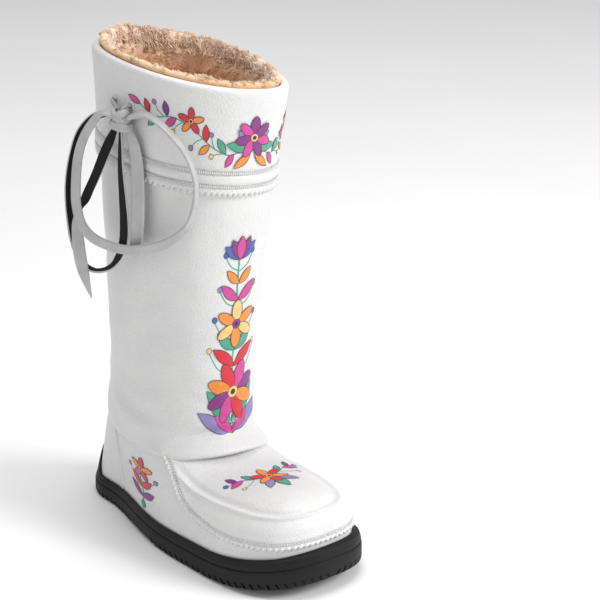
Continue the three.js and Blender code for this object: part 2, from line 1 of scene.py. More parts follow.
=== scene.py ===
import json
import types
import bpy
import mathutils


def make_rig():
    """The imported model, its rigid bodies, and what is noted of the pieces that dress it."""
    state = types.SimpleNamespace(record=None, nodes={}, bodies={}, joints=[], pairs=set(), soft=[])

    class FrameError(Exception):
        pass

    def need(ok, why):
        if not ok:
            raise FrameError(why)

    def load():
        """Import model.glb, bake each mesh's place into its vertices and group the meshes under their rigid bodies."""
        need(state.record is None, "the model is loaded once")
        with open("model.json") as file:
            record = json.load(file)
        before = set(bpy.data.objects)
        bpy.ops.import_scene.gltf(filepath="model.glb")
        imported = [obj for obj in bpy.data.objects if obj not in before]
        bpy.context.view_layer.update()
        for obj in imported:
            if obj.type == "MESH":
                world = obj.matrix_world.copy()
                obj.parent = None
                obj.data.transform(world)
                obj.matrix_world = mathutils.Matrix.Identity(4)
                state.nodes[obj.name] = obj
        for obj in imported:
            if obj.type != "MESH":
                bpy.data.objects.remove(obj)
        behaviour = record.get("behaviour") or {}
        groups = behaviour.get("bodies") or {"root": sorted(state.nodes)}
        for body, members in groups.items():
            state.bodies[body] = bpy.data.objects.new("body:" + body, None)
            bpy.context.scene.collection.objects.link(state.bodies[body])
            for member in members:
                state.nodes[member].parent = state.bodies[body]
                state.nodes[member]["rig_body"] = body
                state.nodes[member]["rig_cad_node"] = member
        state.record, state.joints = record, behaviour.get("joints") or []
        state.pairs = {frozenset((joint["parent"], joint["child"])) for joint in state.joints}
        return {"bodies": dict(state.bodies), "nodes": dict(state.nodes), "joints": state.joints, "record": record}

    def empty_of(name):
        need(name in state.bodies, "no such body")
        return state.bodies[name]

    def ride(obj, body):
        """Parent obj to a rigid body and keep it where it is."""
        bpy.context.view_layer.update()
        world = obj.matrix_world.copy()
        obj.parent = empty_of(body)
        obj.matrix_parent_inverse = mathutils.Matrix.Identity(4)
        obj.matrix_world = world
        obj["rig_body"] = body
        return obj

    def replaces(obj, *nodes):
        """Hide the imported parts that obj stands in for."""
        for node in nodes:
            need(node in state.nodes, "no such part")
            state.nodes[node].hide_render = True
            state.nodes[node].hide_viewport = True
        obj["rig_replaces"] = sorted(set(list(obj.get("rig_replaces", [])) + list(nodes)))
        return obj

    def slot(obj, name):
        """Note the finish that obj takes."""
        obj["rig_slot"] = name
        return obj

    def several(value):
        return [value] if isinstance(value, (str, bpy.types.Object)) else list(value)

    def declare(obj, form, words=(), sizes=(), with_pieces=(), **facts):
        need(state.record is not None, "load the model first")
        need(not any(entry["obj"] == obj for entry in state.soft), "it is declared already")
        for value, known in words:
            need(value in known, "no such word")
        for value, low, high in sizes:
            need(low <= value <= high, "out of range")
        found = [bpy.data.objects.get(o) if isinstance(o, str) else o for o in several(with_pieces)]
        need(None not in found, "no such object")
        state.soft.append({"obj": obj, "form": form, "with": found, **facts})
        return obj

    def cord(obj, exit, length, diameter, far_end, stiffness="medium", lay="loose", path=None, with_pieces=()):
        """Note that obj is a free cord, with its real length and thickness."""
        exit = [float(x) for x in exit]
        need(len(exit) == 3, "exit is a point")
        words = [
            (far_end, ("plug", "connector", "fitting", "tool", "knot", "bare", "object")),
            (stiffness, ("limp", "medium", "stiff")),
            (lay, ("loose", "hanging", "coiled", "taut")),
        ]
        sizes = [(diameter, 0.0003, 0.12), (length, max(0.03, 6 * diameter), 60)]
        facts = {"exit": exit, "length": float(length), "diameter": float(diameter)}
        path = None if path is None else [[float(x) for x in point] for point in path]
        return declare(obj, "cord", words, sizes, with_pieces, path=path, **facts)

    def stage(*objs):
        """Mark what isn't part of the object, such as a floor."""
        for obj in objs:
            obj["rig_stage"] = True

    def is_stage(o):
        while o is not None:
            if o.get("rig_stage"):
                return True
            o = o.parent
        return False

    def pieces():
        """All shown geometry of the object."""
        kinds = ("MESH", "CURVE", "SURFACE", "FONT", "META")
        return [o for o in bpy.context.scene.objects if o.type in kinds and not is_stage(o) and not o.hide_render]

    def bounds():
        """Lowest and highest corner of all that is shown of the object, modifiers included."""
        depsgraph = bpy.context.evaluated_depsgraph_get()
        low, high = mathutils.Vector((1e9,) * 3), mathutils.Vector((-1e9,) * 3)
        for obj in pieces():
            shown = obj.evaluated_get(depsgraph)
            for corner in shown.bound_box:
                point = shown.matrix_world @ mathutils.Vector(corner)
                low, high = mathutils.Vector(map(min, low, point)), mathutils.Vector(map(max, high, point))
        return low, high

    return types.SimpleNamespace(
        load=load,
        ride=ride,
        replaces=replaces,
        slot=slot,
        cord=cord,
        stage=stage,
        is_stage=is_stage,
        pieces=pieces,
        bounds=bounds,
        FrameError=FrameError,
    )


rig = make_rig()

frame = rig.load()

import json
import math
import random
import bpy
from mathutils import Matrix, Vector, noise

cadBox = [list(corner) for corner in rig.bounds()]
bpy.ops.object.select_all(action="DESELECT")


# the camera, at the photo's angle; the sizes below are millimetres of the shoe
camera = {"turn": -40.06, "rise": 20.04, "roll": 0.32, "distance": 1597.19, "target": (83.72, 1.11, 175.35),
          "lens": 119.19, "farClip": 50}


def placeCamera():
    turn, rise, roll = (math.radians(camera[k]) for k in ("turn", "rise", "roll"))
    back = Vector((math.sin(turn) * math.cos(rise), -math.cos(turn) * math.cos(rise), math.sin(rise)))
    flat = Vector((math.cos(turn), math.sin(turn), 0))
    up = back.cross(flat)
    across = flat * math.cos(roll) + up * math.sin(roll)
    up = up * math.cos(roll) - flat * math.sin(roll)
    data = bpy.data.cameras.new("photoCamera")
    data.lens = camera["lens"]
    data.clip_end = camera["farClip"]
    shot = bpy.data.objects.new("photoCamera", data)
    spot = (Vector(camera["target"]) + back * camera["distance"]) * 0.001
    turned = Matrix((across, up, back)).transposed().to_4x4()
    shot.matrix_world = Matrix.Translation(spot) @ turned
    bpy.context.scene.collection.objects.link(shot)
    bpy.context.scene.camera = shot


placeCamera()
print("camera placed")


# shader sums written as expressions
class Term:
    def __init__(self, maker, socket):
        self.maker = maker
        self.socket = socket

    def sum(self, operation, other, swap=False):
        pair = (other, self) if swap else (self, other)
        return self.maker.node("ShaderNodeMath", {"operation": operation}, dict(enumerate(pair)))

    def __add__(self, other):
        return self.sum("ADD", other)

    def __sub__(self, other):
        return self.sum("SUBTRACT", other)

    def __rsub__(self, other):
        return self.sum("SUBTRACT", other, True)

    def __mul__(self, other):
        return self.sum("MULTIPLY", other)

    __radd__ = __add__
    __rmul__ = __mul__


class Finish:
    def __init__(self, name, colour, roughness, fixed=None):
        self.material = bpy.data.materials.new(name)
        self.material.use_nodes = True
        self.tree = self.material.node_tree
        self.shader = next(n for n in self.tree.nodes if n.type == "BSDF_PRINCIPLED")
        self.set("Base Color", (*colour, 1))
        self.set("Roughness", roughness)
        for key, value in (fixed or {}).items():
            self.set(key, value)

    def set(self, name, value):
        self.feed(self.shader.inputs[name], value)

    def feed(self, socket, value):
        if isinstance(value, Term):
            self.tree.links.new(value.socket, socket)
        else:
            socket.default_value = value

    def node(self, kind, settings=None, values=None, out=0):
        made = self.tree.nodes.new(kind)
        for key, value in (settings or {}).items():
            if key == "stops":
                ramp = made.color_ramp
                while len(ramp.elements) < len(value):
                    ramp.elements.new(0.5)
                for element, (at, colour) in zip(ramp.elements, value):
                    element.position = at
                    element.color = (*colour, 1)
            else:
                setattr(made, key, value)
        for key, value in (values or {}).items():
            self.feed(made.inputs[key], value)
        return Term(self, made.outputs[out])

    def place(self):
        return self.node("ShaderNodeTexCoord", out="Object")

    def cloud(self, scale, detail=2, rough=0.5):
        values = {"Vector": self.place(), "Scale": scale, "Detail": detail, "Roughness": rough}
        return self.node("ShaderNodeTexNoise", values=values)

    def cells(self, scale):
        return self.node("ShaderNodeTexVoronoi", values={"Vector": self.place(), "Scale": scale, "Randomness": 1.0})

    def ramp(self, value, *stops):
        return self.node("ShaderNodeValToRGB", {"stops": stops}, {"Fac": value})

    def blend(self, amount, one, other, way="MIX"):
        return self.node("ShaderNodeMix", {"data_type": "RGBA", "blend_type": way}, {0: amount, 6: one, 7: other}, 2)

    def bump(self, height, strength, distance):
        values = {"Height": height, "Strength": strength, "Distance": distance}
        self.set("Normal", self.node("ShaderNodeBump", values=values))


poreScale = 780.0  # pores of the leather, also seen through the print


def whiteLeather():
    finish = Finish("whiteLeather", (0.74, 0.74, 0.735), 0.4,
                    {"Coat Weight": 0.12, "Coat Roughness": 0.28, "Specular IOR Level": 0.5})
    cells = finish.cells(poreScale)
    creases = finish.cloud(160.0, 3, 0.6)
    broad = finish.cloud(16.0, 3)
    # broad noise gives the leather's own uneven tone; the crease noise, which also raises the bump, lightens it where
    # the creases rise: painted shade in the crease valleys
    toneAndCreaseShade = finish.ramp(broad * 0.8 + creases * 0.2, (0.3, (0.69, 0.69, 0.69)), (0.7, (0.77, 0.768, 0.763)))
    # the borders of the pore cells, the valleys of the pebbled bump, are painted darker: painted shade in the grain
    poreShade = finish.ramp(cells, (0.0, (1, 1, 1)), (0.75, (0.9, 0.9, 0.9)))
    finish.set("Base Color", finish.blend(0.5, toneAndCreaseShade, poreShade, "MULTIPLY"))
    finish.set("Roughness", 0.36 + 0.2 * creases)
    finish.bump((1 - cells) * 0.6 + creases * 0.6, 0.7, 0.0006)
    return finish.material


def blackRubber():
    finish = Finish("blackRubber", (0.008, 0.008, 0.0085), 0.5, {"Specular IOR Level": 0.28})
    fine = finish.cloud(1400.0, 2, 0.6)
    wear = finish.cloud(45.0, 4, 0.6)
    finish.set("Base Color", finish.ramp(wear, (0.35, (0.004, 0.004, 0.0042)), (0.75, (0.01, 0.01, 0.0104))))
    finish.set("Roughness", 0.42 + 0.28 * wear)
    finish.bump(fine * 0.7 + wear * 0.3, 0.45, 0.0002)
    return finish.material


def fleeceWool():
    finish = Finish("fleeceWool", (0.66, 0.45, 0.28), 0.95,
                    {"Sheen Weight": 0.3, "Sheen Roughness": 0.6, "Specular IOR Level": 0.12})
    tip = finish.node("ShaderNodeAttribute", {"attribute_name": "tip"}, out="Fac")
    broad = finish.cloud(30.0, 4, 0.6)
    curl = finish.cloud(420.0, 3, 0.7)
    deep = finish.ramp(broad * 0.7 + curl * 0.3,
                       (0.36, (0.46, 0.22, 0.08)), (0.46, (0.76, 0.43, 0.19)), (0.57, (0.85, 0.56, 0.33)))
    pale = finish.ramp(curl, (0.35, (0.76, 0.6, 0.5)), (0.6, (0.9, 0.78, 0.7)))
    finish.set("Base Color", finish.blend(tip, deep, pale))
    finish.bump(curl, 0.6, 0.0012)
    return finish.material


def strapFinish(name, dark, light, roughness):
    finish = Finish(name, light, roughness, {"Specular IOR Level": 0.35})
    grain = finish.cloud(600.0, 3, 0.6)
    broad = finish.cloud(70.0, 2)
    finish.set("Base Color", finish.ramp(broad * 0.7 + grain * 0.3, (0.3, dark), (0.7, light)))
    finish.bump(grain, 0.4, 0.0002)
    return finish.material


def footbedFelt():
    finish = Finish("footbedFelt", (0.6, 0.42, 0.26), 0.95, {"Sheen Weight": 0.3})
    curl = finish.cloud(300.0, 4, 0.7)
    finish.set("Base Color", finish.ramp(curl, (0.3, (0.42, 0.27, 0.15)), (0.7, (0.7, 0.5, 0.33))))
    finish.bump(curl, 0.6, 0.0008)
    return finish.material


def eyeletMetal():
    finish = Finish("eyeletMetal", (0.7, 0.7, 0.7), 0.25, {"Metallic": 1.0})
    finish.set("Roughness", 0.2 + 0.25 * finish.cloud(900.0, 3))
    return finish.material


def printedInk():
    finish = Finish("printedInk", (0.5, 0.5, 0.5), 0.42, {"Coat Weight": 0.05})
    tint = finish.node("ShaderNodeAttribute", {"attribute_name": "ink"}, out="Color")
    worn = finish.ramp(finish.cloud(220.0, 3), (0.3, (0.88, 0.88, 0.88)), (0.6, (1, 1, 1)))
    finish.set("Base Color", finish.blend(1.0, tint, worn, "MULTIPLY"))
    finish.bump(1 - finish.cells(poreScale), 0.3, 0.0003)
    return finish.material
looks = {
    "leather": whiteLeather(),
    "rubber": blackRubber(),
    "fleece": fleeceWool(),
    "grey": strapFinish("strapGrey", (0.4, 0.4, 0.4), (0.52, 0.52, 0.52), 0.5),
    "black": strapFinish("strapBlack", (0.003, 0.003, 0.003), (0.007, 0.007, 0.007), 0.8),
    "felt": footbedFelt(),
    "metal": eyeletMetal(),
    "ink": printedInk(),
}
print("finishes made")


# meshes from points in millimetres
centreX = 3.0  # the middle of the CAD frame in the shoe's own sizes


def pickOnly(*chosen):
    bpy.ops.object.select_all(action="DESELECT")
    for each in chosen:
        each.select_set(True)
    bpy.context.view_layer.objects.active = chosen[0]


def piece(name, points, faces, finishes, slot, stands=(), picks=None):
    mesh = bpy.data.meshes.new(name)
    mesh.from_pydata([(x * 0.001, y * 0.001, z * 0.001) for x, y, z in points], [], faces)
    for key in finishes:
        mesh.materials.append(looks[key])
    if picks:
        mesh.polygons.foreach_set("material_index", picks)
    mesh.polygons.foreach_set("use_smooth", [True] * len(faces))
    mesh.update()
    made = bpy.data.objects.new(name, mesh)
    bpy.context.scene.collection.objects.link(made)
    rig.ride(made, "root")
    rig.slot(made, slot)
    if stands:
        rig.replaces(made, *stands)
    return made


def flat(rows):
    return [point for row in rows for point in row]


def ringRow(count, place):
    return [place(i / count) for i in range(count)]


def gridFaces(rows, columns, closed, start=0):
    faces = []
    for r in range(rows - 1):
        low = start + r * columns
        for c in range(columns if closed else columns - 1):
            d = (c + 1) % columns
            faces.append((low + c, low + d, low + columns + d, low + columns + c))
    return faces


def loopFaces(rows, columns, start=0):
    # a grid closed both ways
    faces, last = gridFaces(rows, columns, True, start), start + (rows - 1) * columns
    for c in range(columns):
        d = (c + 1) % columns
        faces.append((last + c, last + d, start + d, start + c))
    return faces


def capFaces(rows, columns):
    # strips across the first and the last ring of a grid
    faces, half = [], columns // 2
    for start, flip in ((0, True), ((rows - 1) * columns, False)):
        for i in range(half - 1):
            strip = (start + i, start + i + 1, start + (columns - i - 1) % columns, start + (columns - i) % columns)
            strip = tuple(dict.fromkeys(strip))
            faces.append(strip[::-1] if flip else strip)
        last = (start + half - 1, start + half, start + half + 1)
        faces.append(last[::-1] if flip else last)
    return faces


def shellFaces(rows, columns, skin=None, closeTop=True):
    # an outer sheet, its inner twin and the edge that joins them
    skin = skin or gridFaces(rows, columns, False)
    base, top, end = rows * columns, (rows - 1) * columns, columns - 1
    faces = skin + [tuple(base + i for i in face[::-1]) for face in skin]
    for i in range(end):
        faces.append((i + 1, i, base + i, base + i + 1))
        if closeTop:
            faces.append((top + i, top + i + 1, base + top + i + 1, base + top + i))
    for a in range(0, top, columns):
        b = a + columns
        faces.append((a, b, base + b, base + a))
        faces.append((b + end, a + end, base + a + end, base + b + end))
    return faces


def applyModifier(made, kind, **settings):
    pickOnly(made)
    added = made.modifiers.new(kind, kind)
    for key, value in settings.items():
        setattr(added, key, value)
    bpy.ops.object.modifier_apply(modifier=added.name)
    made.select_set(False)
    return made


def clamp(v, low, high):
    return min(max(v, low), high)


def ease(a, b, v):
    t = clamp((v - a) / (b - a), 0, 1)
    return t * t * (3 - 2 * t)


def hump(v, middle, width):
    return math.exp(-((v - middle) / width) ** 2)


def curve(rows, at, column=1):
    if at <= rows[0][0]:
        return rows[0][column]
    for i in range(1, len(rows)):
        a, b = rows[i - 1], rows[i]
        if at > b[0]:
            continue
        p, n = rows[max(i - 2, 0)], rows[min(i + 1, len(rows) - 1)]
        w = b[0] - a[0]
        t = (at - a[0]) / w
        ma = w * (b[column] - p[column]) / (b[0] - p[0])
        mb = w * (n[column] - a[column]) / (n[0] - a[0])
        return ((2 * t**3 - 3 * t**2 + 1) * a[column] + (t**3 - 2 * t**2 + t) * ma
                + (3 * t**2 - 2 * t**3) * b[column] + (t**3 - t**2) * mb)
    return rows[-1][column]


def wobble(x, y, z, scale):
    return noise.noise(Vector((x * scale, y * scale, z * scale)))


# leg: height, y, half width, half depth
legRows = [(60, 50.6, 51, 66.5), (130, 47.7, 49.5, 64.8), (190, 45.4, 52.4, 68.4), (254, 42, 55.6, 72),
           (316, 37.6, 58.3, 76), (362, 33.5, 60.6, 79.8), (378, 32.5, 61.6, 81.4)]
hemRows = [(0, 84), (0.1, 80), (0.2, 71.5), (0.27, 69), (0.36, 70.5), (0.43, 73.5), (0.5, 73), (0.57, 68.5),
           (0.64, 62), (0.73, 64), (0.8, 70.5), (0.9, 80), (1, 84)]
# height above the hem, then the puff at back, side and front
puffRows = [(0, 0.5, -2.5, 7), (4, 2, 1.5, 12.5), (9, 2.5, 3, 7.5), (17, 2.4, 3.4, 0.5), (26, 2, 2.8, 0.3),
            (42, 1, 1, 0), (90, 0, 0, 0)]
leg = {"x": 3, "top": 377.8, "topY": 32.1, "tiltBack": 0.076, "tiltSide": -0.144, "corner": 0.92,
       "ankle": 130, "openFrom": 73, "slack": 9}  # the foot is open inside the ankle, above openFrom


def legOval(t, z, grow):
    a = 2 * math.pi * t
    sx, sy = math.sin(a), math.cos(a)
    x = leg["x"] - (curve(legRows, z, 2) + grow) * math.copysign(abs(sx) ** leg["corner"], sx)
    y = curve(legRows, z, 1) + (curve(legRows, z, 3) + grow) * math.copysign(abs(sy) ** leg["corner"], sy)
    return x, y


def rimHeight(t):
    x, y = legOval(t, leg["top"], 0)
    return leg["top"] + leg["tiltBack"] * (y - leg["topY"]) + leg["tiltSide"] * (x - leg["x"])


def legAt(t, z, grow):
    hem = curve(hemRows, t % 1)
    x, y = legOval(t, hem + (leg["top"] - hem) * (z - hem) / (rimHeight(t) - hem), grow)
    return (x - centreX, y, z)


def legDrop(t, drop, grow):
    return legAt(t, rimHeight(t) - drop, grow)


def skirtPuff(t, up):
    facing = -math.cos(2 * math.pi * t)
    front = ease(0, 0.86, facing)
    rear = ease(0.2, 0.96, -facing)
    sides = curve(puffRows, up, 2) * (1 - front) * (1 - rear)
    return sides + curve(puffRows, up, 3) * front + curve(puffRows, up, 1) * rear


def legRipple(t, z):
    a = 2 * math.pi * t
    return 0.5 * wobble(math.cos(a) * 3, math.sin(a) * 3, z * 0.02, 1)


# the tie: two leather straps through the eyelets, one knot, two loops, two tails
tie = {"wide": 7.4, "slim": 3.4, "thick": 2.2, "facing": (-0.605, -0.719, 0.343), "step": 2.2,
       # the strap's section as (thickness, width), its inside from the seventh point on
       "section": [(0.5, -0.36), (0.42, -0.25), (0.4, 0), (0.42, 0.25), (0.5, 0.36), (0.36, 0.47), (0, 0.5),
                   (-0.36, 0.47), (-0.5, 0.36), (-0.5, 0), (-0.5, -0.36), (-0.36, -0.47), (0, -0.5), (0.36, -0.47)]}
loopFront = [
    (-70, 28, 347.5), (-74.6, 37, 349.2), (-77.9, 44.2, 342.2), (-81, 52.8, 328.6), (-83.1, 58.6, 312.3),
    (-84.1, 61.3, 290.7), (-84.2, 61.4, 274.9), (-82.8, 57.6, 259.7), (-79.5, 48.7, 251), (-74.8, 35.8, 246.9),
    (-69.5, 21.2, 246), (-64.2, 6.6, 248.7), (-58.3, -9.6, 254.4), (-53.3, -23.5, 264), (-49.6, -33.7, 275.8),
    (-47.6, -39.1, 292.1), (-47.2, -40.2, 305.9), (-48.3, -37.1, 319), (-50.5, -31.2, 330.1),
    (-54.1, -21.2, 340.6), (-58.5, -9.1, 350), (-62.3, 1.4, 353.4), (-65.4, 9.8, 351), (-66.4, 17.5, 347.4),
]
loopBack = [
    (-64.8, 30, 344), (-66.4, 37, 346.5), (-69, 44.5, 346.2), (-72.4, 54.1, 341.3), (-76.1, 64.1, 329.3),
    (-78.5, 70.8, 311.9), (-80.2, 75.3, 291.5), (-80.6, 76.5, 269.8), (-80, 74.7, 246), (-77.8, 68.8, 227.7),
    (-74.8, 58.6, 221.5), (-72.6, 46.8, 223.2), (-70.6, 35.4, 230), (-68.9, 27, 241), (-67.9, 23, 254.6),
    (-67.8, 22.4, 270.6), (-68.2, 22.9, 287.9), (-68.6, 23.6, 306.6), (-68.4, 23.6, 323.4), (-67.2, 24.5, 339),
]
tailLong = [
    (-67.8, 30, 340), (-69.6, 35, 329), (-71.8, 41.5, 315), (-74.2, 48.6, 299), (-77.6, 58, 280),
    (-80.6, 66.1, 261.1), (-81.6, 64.6, 244.5), (-81.8, 59.8, 224.3), (-78.9, 52.8, 200.4),
]
tailShort = [
    (-65.2, 19, 341), (-63.6, 15, 331), (-62.4, 13, 320), (-61.6, 12.6, 308.4), (-61.6, 12.6, 287.5),
    (-61.9, 13.8, 265.4), (-62.8, 16.6, 242.1),
]
leadBack = [(-57.4, 42.3, 356.4), (-61, 42.4, 356.3), (-62.9, 42.3, 356.6), (-64, 39, 355.6), (-64.2, 33.5, 351.6),
            (-65, 28, 346)]
leadFront = [(-57.2, 21.9, 355.7), (-60.9, 21.9, 355.6), (-63, 21.9, 355.9), (-65.6, 22.2, 354.6), (-66.6, 23, 350),
             (-66.6, 24, 346)]


def home(point):
    return Vector((point[0] - centreX, point[1], point[2]))


def smoothRoute(points, step):
    points = [Vector(p) for p in points]
    fine = []
    for i in range(len(points) - 1):
        a, b = points[i], points[i + 1]
        p = points[i - 1] if i else a * 2 - b
        n = points[i + 2] if i + 2 < len(points) else b * 2 - a
        count = max(int((b - a).length / step), 1)
        for k in range(count):
            t = k / count
            bend, twist = 2 * p - 5 * a + 4 * b - n, 3 * a - p - 3 * b + n
            fine.append(0.5 * (2 * a + (b - p) * t + bend * t * t + twist * t**3))
    fine.append(points[-1])
    return fine


def standOff(point):
    # how far a point lies outside the leg, or outside the cuff higher up
    skin = 0.6 + 4.3 * ease(293, 300, point.z)
    wide, deep = curve(legRows, point.z, 2) + skin, curve(legRows, point.z, 3) + skin
    way = Vector((point.x, point.y - curve(legRows, point.z, 1), 0))
    share = (abs(way.x / wide) ** 2.17 + abs(way.y / deep) ** 2.17) ** (1 / 2.17)
    return (share - 1) * way.length / share, way.normalized()


def ribbon(name, stretches, stands):
    # each stretch has its points, its turn away from the camera and its width along the way
    route, turns, widths, held = [], [], [], []
    for points, turn, wide, tied in stretches:
        fine = smoothRoute([home(p) for p in points], tie["step"])
        for i, p in enumerate(fine):
            share = i / (len(fine) - 1)
            if route and (p - route[-1]).length < 0.6:
                continue
            route.append(p)
            turns.append(curve(turn, share))
            widths.append(curve(wide, share))
            held.append(tied)
    facing, last, rings, short = Vector(tie["facing"]), None, [], []
    for i, p in enumerate(route):
        along = (route[min(i + 1, len(route) - 1)] - route[max(i - 1, 0)]).normalized()
        level = facing - along * along.dot(facing)
        level = level.normalized() if level.length > 0.25 else (last - along * along.dot(last)).normalized()
        last = level
        side = along.cross(level)
        face = level * math.cos(turns[i]) + side * math.sin(turns[i])
        across = along.cross(face)
        thick = tie["thick"] * min(1, widths[i] / 3)
        curl = 0.35 * wobble(p.x, p.y, p.z, 0.06)
        rings.append([p + face * (a * thick + curl * (abs(b) * 2) ** 2) + across * (b * widths[i])
                      for a, b in tie["section"]])
        short.append(0 if held[i] else max(0, 0.5 - min(standOff(q)[0] for q in rings[-1])))
    # what lies too near the leg is pushed out, evened over its neighbours
    near = [range(max(i - 3, 0), min(i + 4, len(short))) for i in range(len(short))]
    most = [max(short[k] for k in span) for span in near]
    moved = [sum(most[k] for k in span) / len(span) for span in near]
    points, path = [], []
    for p, spots, shift, tied in zip(route, rings, moved, held):
        push = standOff(p)[1] * (0 if tied else shift)
        path.append(p + push)
        points += [q + push for q in spots]
    count = len(tie["section"])
    faces = gridFaces(len(path), count, True)
    picks = [1 if 6 < k % count < 11 else 0 for k in range(len(faces))]
    end = (len(path) - 1) * count
    faces += [tuple(range(count))[::-1], tuple(range(end, end + count))]
    picks += [0, 0]
    made = piece(name, points, faces, ["grey", "black"], "strap", stands, picks=picks)
    length = sum((b - a).length for a, b in zip(path, path[1:]))
    return made, [p * 0.001 for p in path], length * 0.001


knot = {"at": (-66.6, 25, 344.5), "steps": 48, "ring": 8, "bulge": 1.1, "flatten": 0.045,
        "core": (5.2, 8.6, 7.6), "coreRings": 9, "coreSteps": 20,
        "wraps": [{"tilt": 0.05, "lean": 0.1, "up": -3.6, "deep": 6.4, "wide": 10.2, "band": 6.6},
                  {"tilt": 0.5, "lean": 0.2, "up": 2.4, "deep": 5.4, "wide": 8.6, "band": 6.2},
                  {"tilt": -0.6, "lean": -0.15, "up": 3.2, "deep": 5.2, "wide": 7.8, "band": 5.6}]}


def knotWraps():
    # three turns of strap round the crossing, the lowest one lying level, and what they hold
    centre, points, faces = home(knot["at"]), [], []
    steps, ring = knot["steps"], knot["ring"]
    for wrap in knot["wraps"]:
        turned = Matrix.Rotation(wrap["tilt"], 3, "X") @ Matrix.Rotation(wrap["lean"], 3, "Y")
        faces += [face[::-1] for face in loopFaces(steps, ring, len(points))]
        for i in range(steps):
            a = 2 * math.pi * i / steps
            out = Vector((math.cos(a) * wrap["deep"], math.sin(a) * wrap["wide"], 0))
            way = Vector((math.cos(a), math.sin(a), 0))
            for k in range(ring):
                b = 2 * math.pi * k / ring
                high = wrap["band"] * 0.5 * math.sin(b)
                bulge = knot["bulge"] * math.cos(b) - knot["flatten"] * high * high
                spot = turned @ (out + way * bulge + Vector((0, 0, high)))
                points.append(centre + spot + Vector((0, 0, wrap["up"])))
    start, rings, steps = len(points), knot["coreRings"], knot["coreSteps"]
    deep, wide, tall = knot["core"]
    for r in range(rings):
        polar = math.pi * (r + 0.5) / rings
        for i in range(steps):
            a = 2 * math.pi * i / steps
            x, y = deep * math.sin(polar) * math.cos(a), wide * math.sin(polar) * math.sin(a)
            points.append(centre + Vector((x, y, -tall * math.cos(polar))))
    faces += gridFaces(rings, steps, True, start)
    top = start + (rings - 1) * steps
    faces += [tuple(range(start, start + steps))[::-1], tuple(range(top, top + steps))]
    return piece("tieKnot", points, faces, ["grey"], "strap", ["tie_knot"])


full, slim = tie["wide"], tie["slim"]
knotMade = knotWraps()
back, backPath, backLength = ribbon("tieBack", [
    (leadBack, [(0, 0.9), (1, 0.9)], [(0, 2.6), (0.3, 3), (1, slim)], True),
    (loopBack, [(0, 1.9), (0.08, 2.3), (0.3, 2.4), (0.48, 1.95), (0.58, 1.95), (0.7, 2.6), (0.84, 2.3), (1, 1.9)],
     [(0, slim), (0.08, full), (0.93, full), (1, 4)], False),
    (tailLong, [(0, 2.6), (0.12, 3.1), (0.42, 3.1), (0.6, 0.3), (1, 0.2)],
     [(0, 4), (0.1, full), (0.55, full), (0.72, 9.6), (0.86, 8.4), (0.97, 2.6), (1, 0.8)], False),
], ["tie_loop_back", "tie_tail_long", "tie_lead_back"])
front, frontPath, frontLength = ribbon("tieFront", [
    (leadFront, [(0, 0.9), (1, 0.9)], [(0, 2.6), (0.3, 3), (1, slim)], True),
    (loopFront, [(0, 0.7), (0.12, 0.35), (0.33, 0.4), (0.45, 0.6), (0.55, 0.6), (0.66, 1.2), (0.8, 1.22), (0.9, 0.95),
                 (1, 0.75)],
     [(0, slim), (0.07, full), (0.94, full), (1, 4)], False),
    (tailShort, [(0, 0.7), (0.15, 0.4), (1, 0.25)], [(0, 4), (0.12, 8.4), (0.4, 10.4), (0.9, 10), (1, 8)], False),
], ["tie_loop_front", "tie_tail_short", "tie_lead_front"])
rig.cord(back, exit=backPath[0], length=backLength, diameter=full * 0.001, far_end="bare", stiffness="medium",
        lay="hanging", path=backPath, with_pieces=[knotMade])
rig.cord(front, exit=frontPath[0], length=frontLength, diameter=full * 0.001, far_end="bare", stiffness="medium",
        lay="hanging", path=frontPath)
print("tie made:", round(backLength, 3), round(frontLength, 3))


# section functions of the boot, the same sizes as its solids
sole = {"length": 280, "heel": 81.7, "ball": 121, "toeFullness": 2.54, "toeShift": 3.2, "waist": 6, "ballAt": 0.7,
        "heelRoundAt": 0.15, "heelFullness": 2.2, "heelHigh": 16.5, "toeHigh": 24.6, "toeSpring": 11.5, "arch": 1.4,
        "cup": 9, "wall": 4.4, "ledge": 3.5}
gap = 0.3  # between neighbouring pieces


def stationShare(t):
    return 0.5 - 0.5 * math.cos(2 * math.pi * t)


def turnAt(s):
    return math.acos(1 - 2 * s) / (2 * math.pi)


def toeShift(s):
    return sole["toeShift"] * clamp((s - 0.45) / 0.55, 0, 1) ** 2


def halfWidth(s, medial):
    waist = sole["waist"] if medial else -sole["waist"]
    w, h, full, heelFull = sole["ball"] / 2, sole["heel"] / 2, sole["toeFullness"], sole["heelFullness"]
    heelAt, ballAt = sole["heelRoundAt"], sole["ballAt"]
    if s < heelAt:
        return h * (1 - ((heelAt - s) / heelAt) ** heelFull) ** (1 / heelFull)
    if s > ballAt:
        return w * max(1 - ((s - ballAt) / (1 - ballAt)) ** full, 0) ** (1 / full)
    t = (s - heelAt) / (ballAt - heelAt)
    k = t * t * (3 - 2 * t)
    return h * (1 - k) + w * k - waist * math.sin(math.pi * t) ** 2


def outline(t):
    s = stationShare(t)
    w = halfWidth(s, t > 0.5)
    return s, (w if t > 0.5 else -w) + toeShift(s), sole["length"] * (0.5 - s)


planCache, planStep = {}, 0.004


def plan(t, inset):
    u = t % 1
    if u not in planCache:
        a, b, p = outline((u - planStep) % 1), outline((u + planStep) % 1), outline(u)
        n = math.hypot(b[1] - a[1], b[2] - a[2])
        planCache[u] = (p[0], p[1], p[2], (b[2] - a[2]) / n, (b[1] - a[1]) / n)
    s, x, y, dy, dx = planCache[u]
    return s, x - inset * dy, y + inset * dx


def seatInset(t):
    s = stationShare(t)
    side = 1 if t > 0.5 else 0.4 + 0.6 * ease(0.93, 1, s)
    return sole["wall"] + sole["ledge"] * ease(0.72, 0.92, s) * side


def spring(s):
    return sole["toeSpring"] * clamp((s - 0.7) / 0.3, 0, 1) ** 1.8


def lip(s):
    return sole["heelHigh"] + (sole["toeHigh"] - sole["heelHigh"]) * s + spring(s)


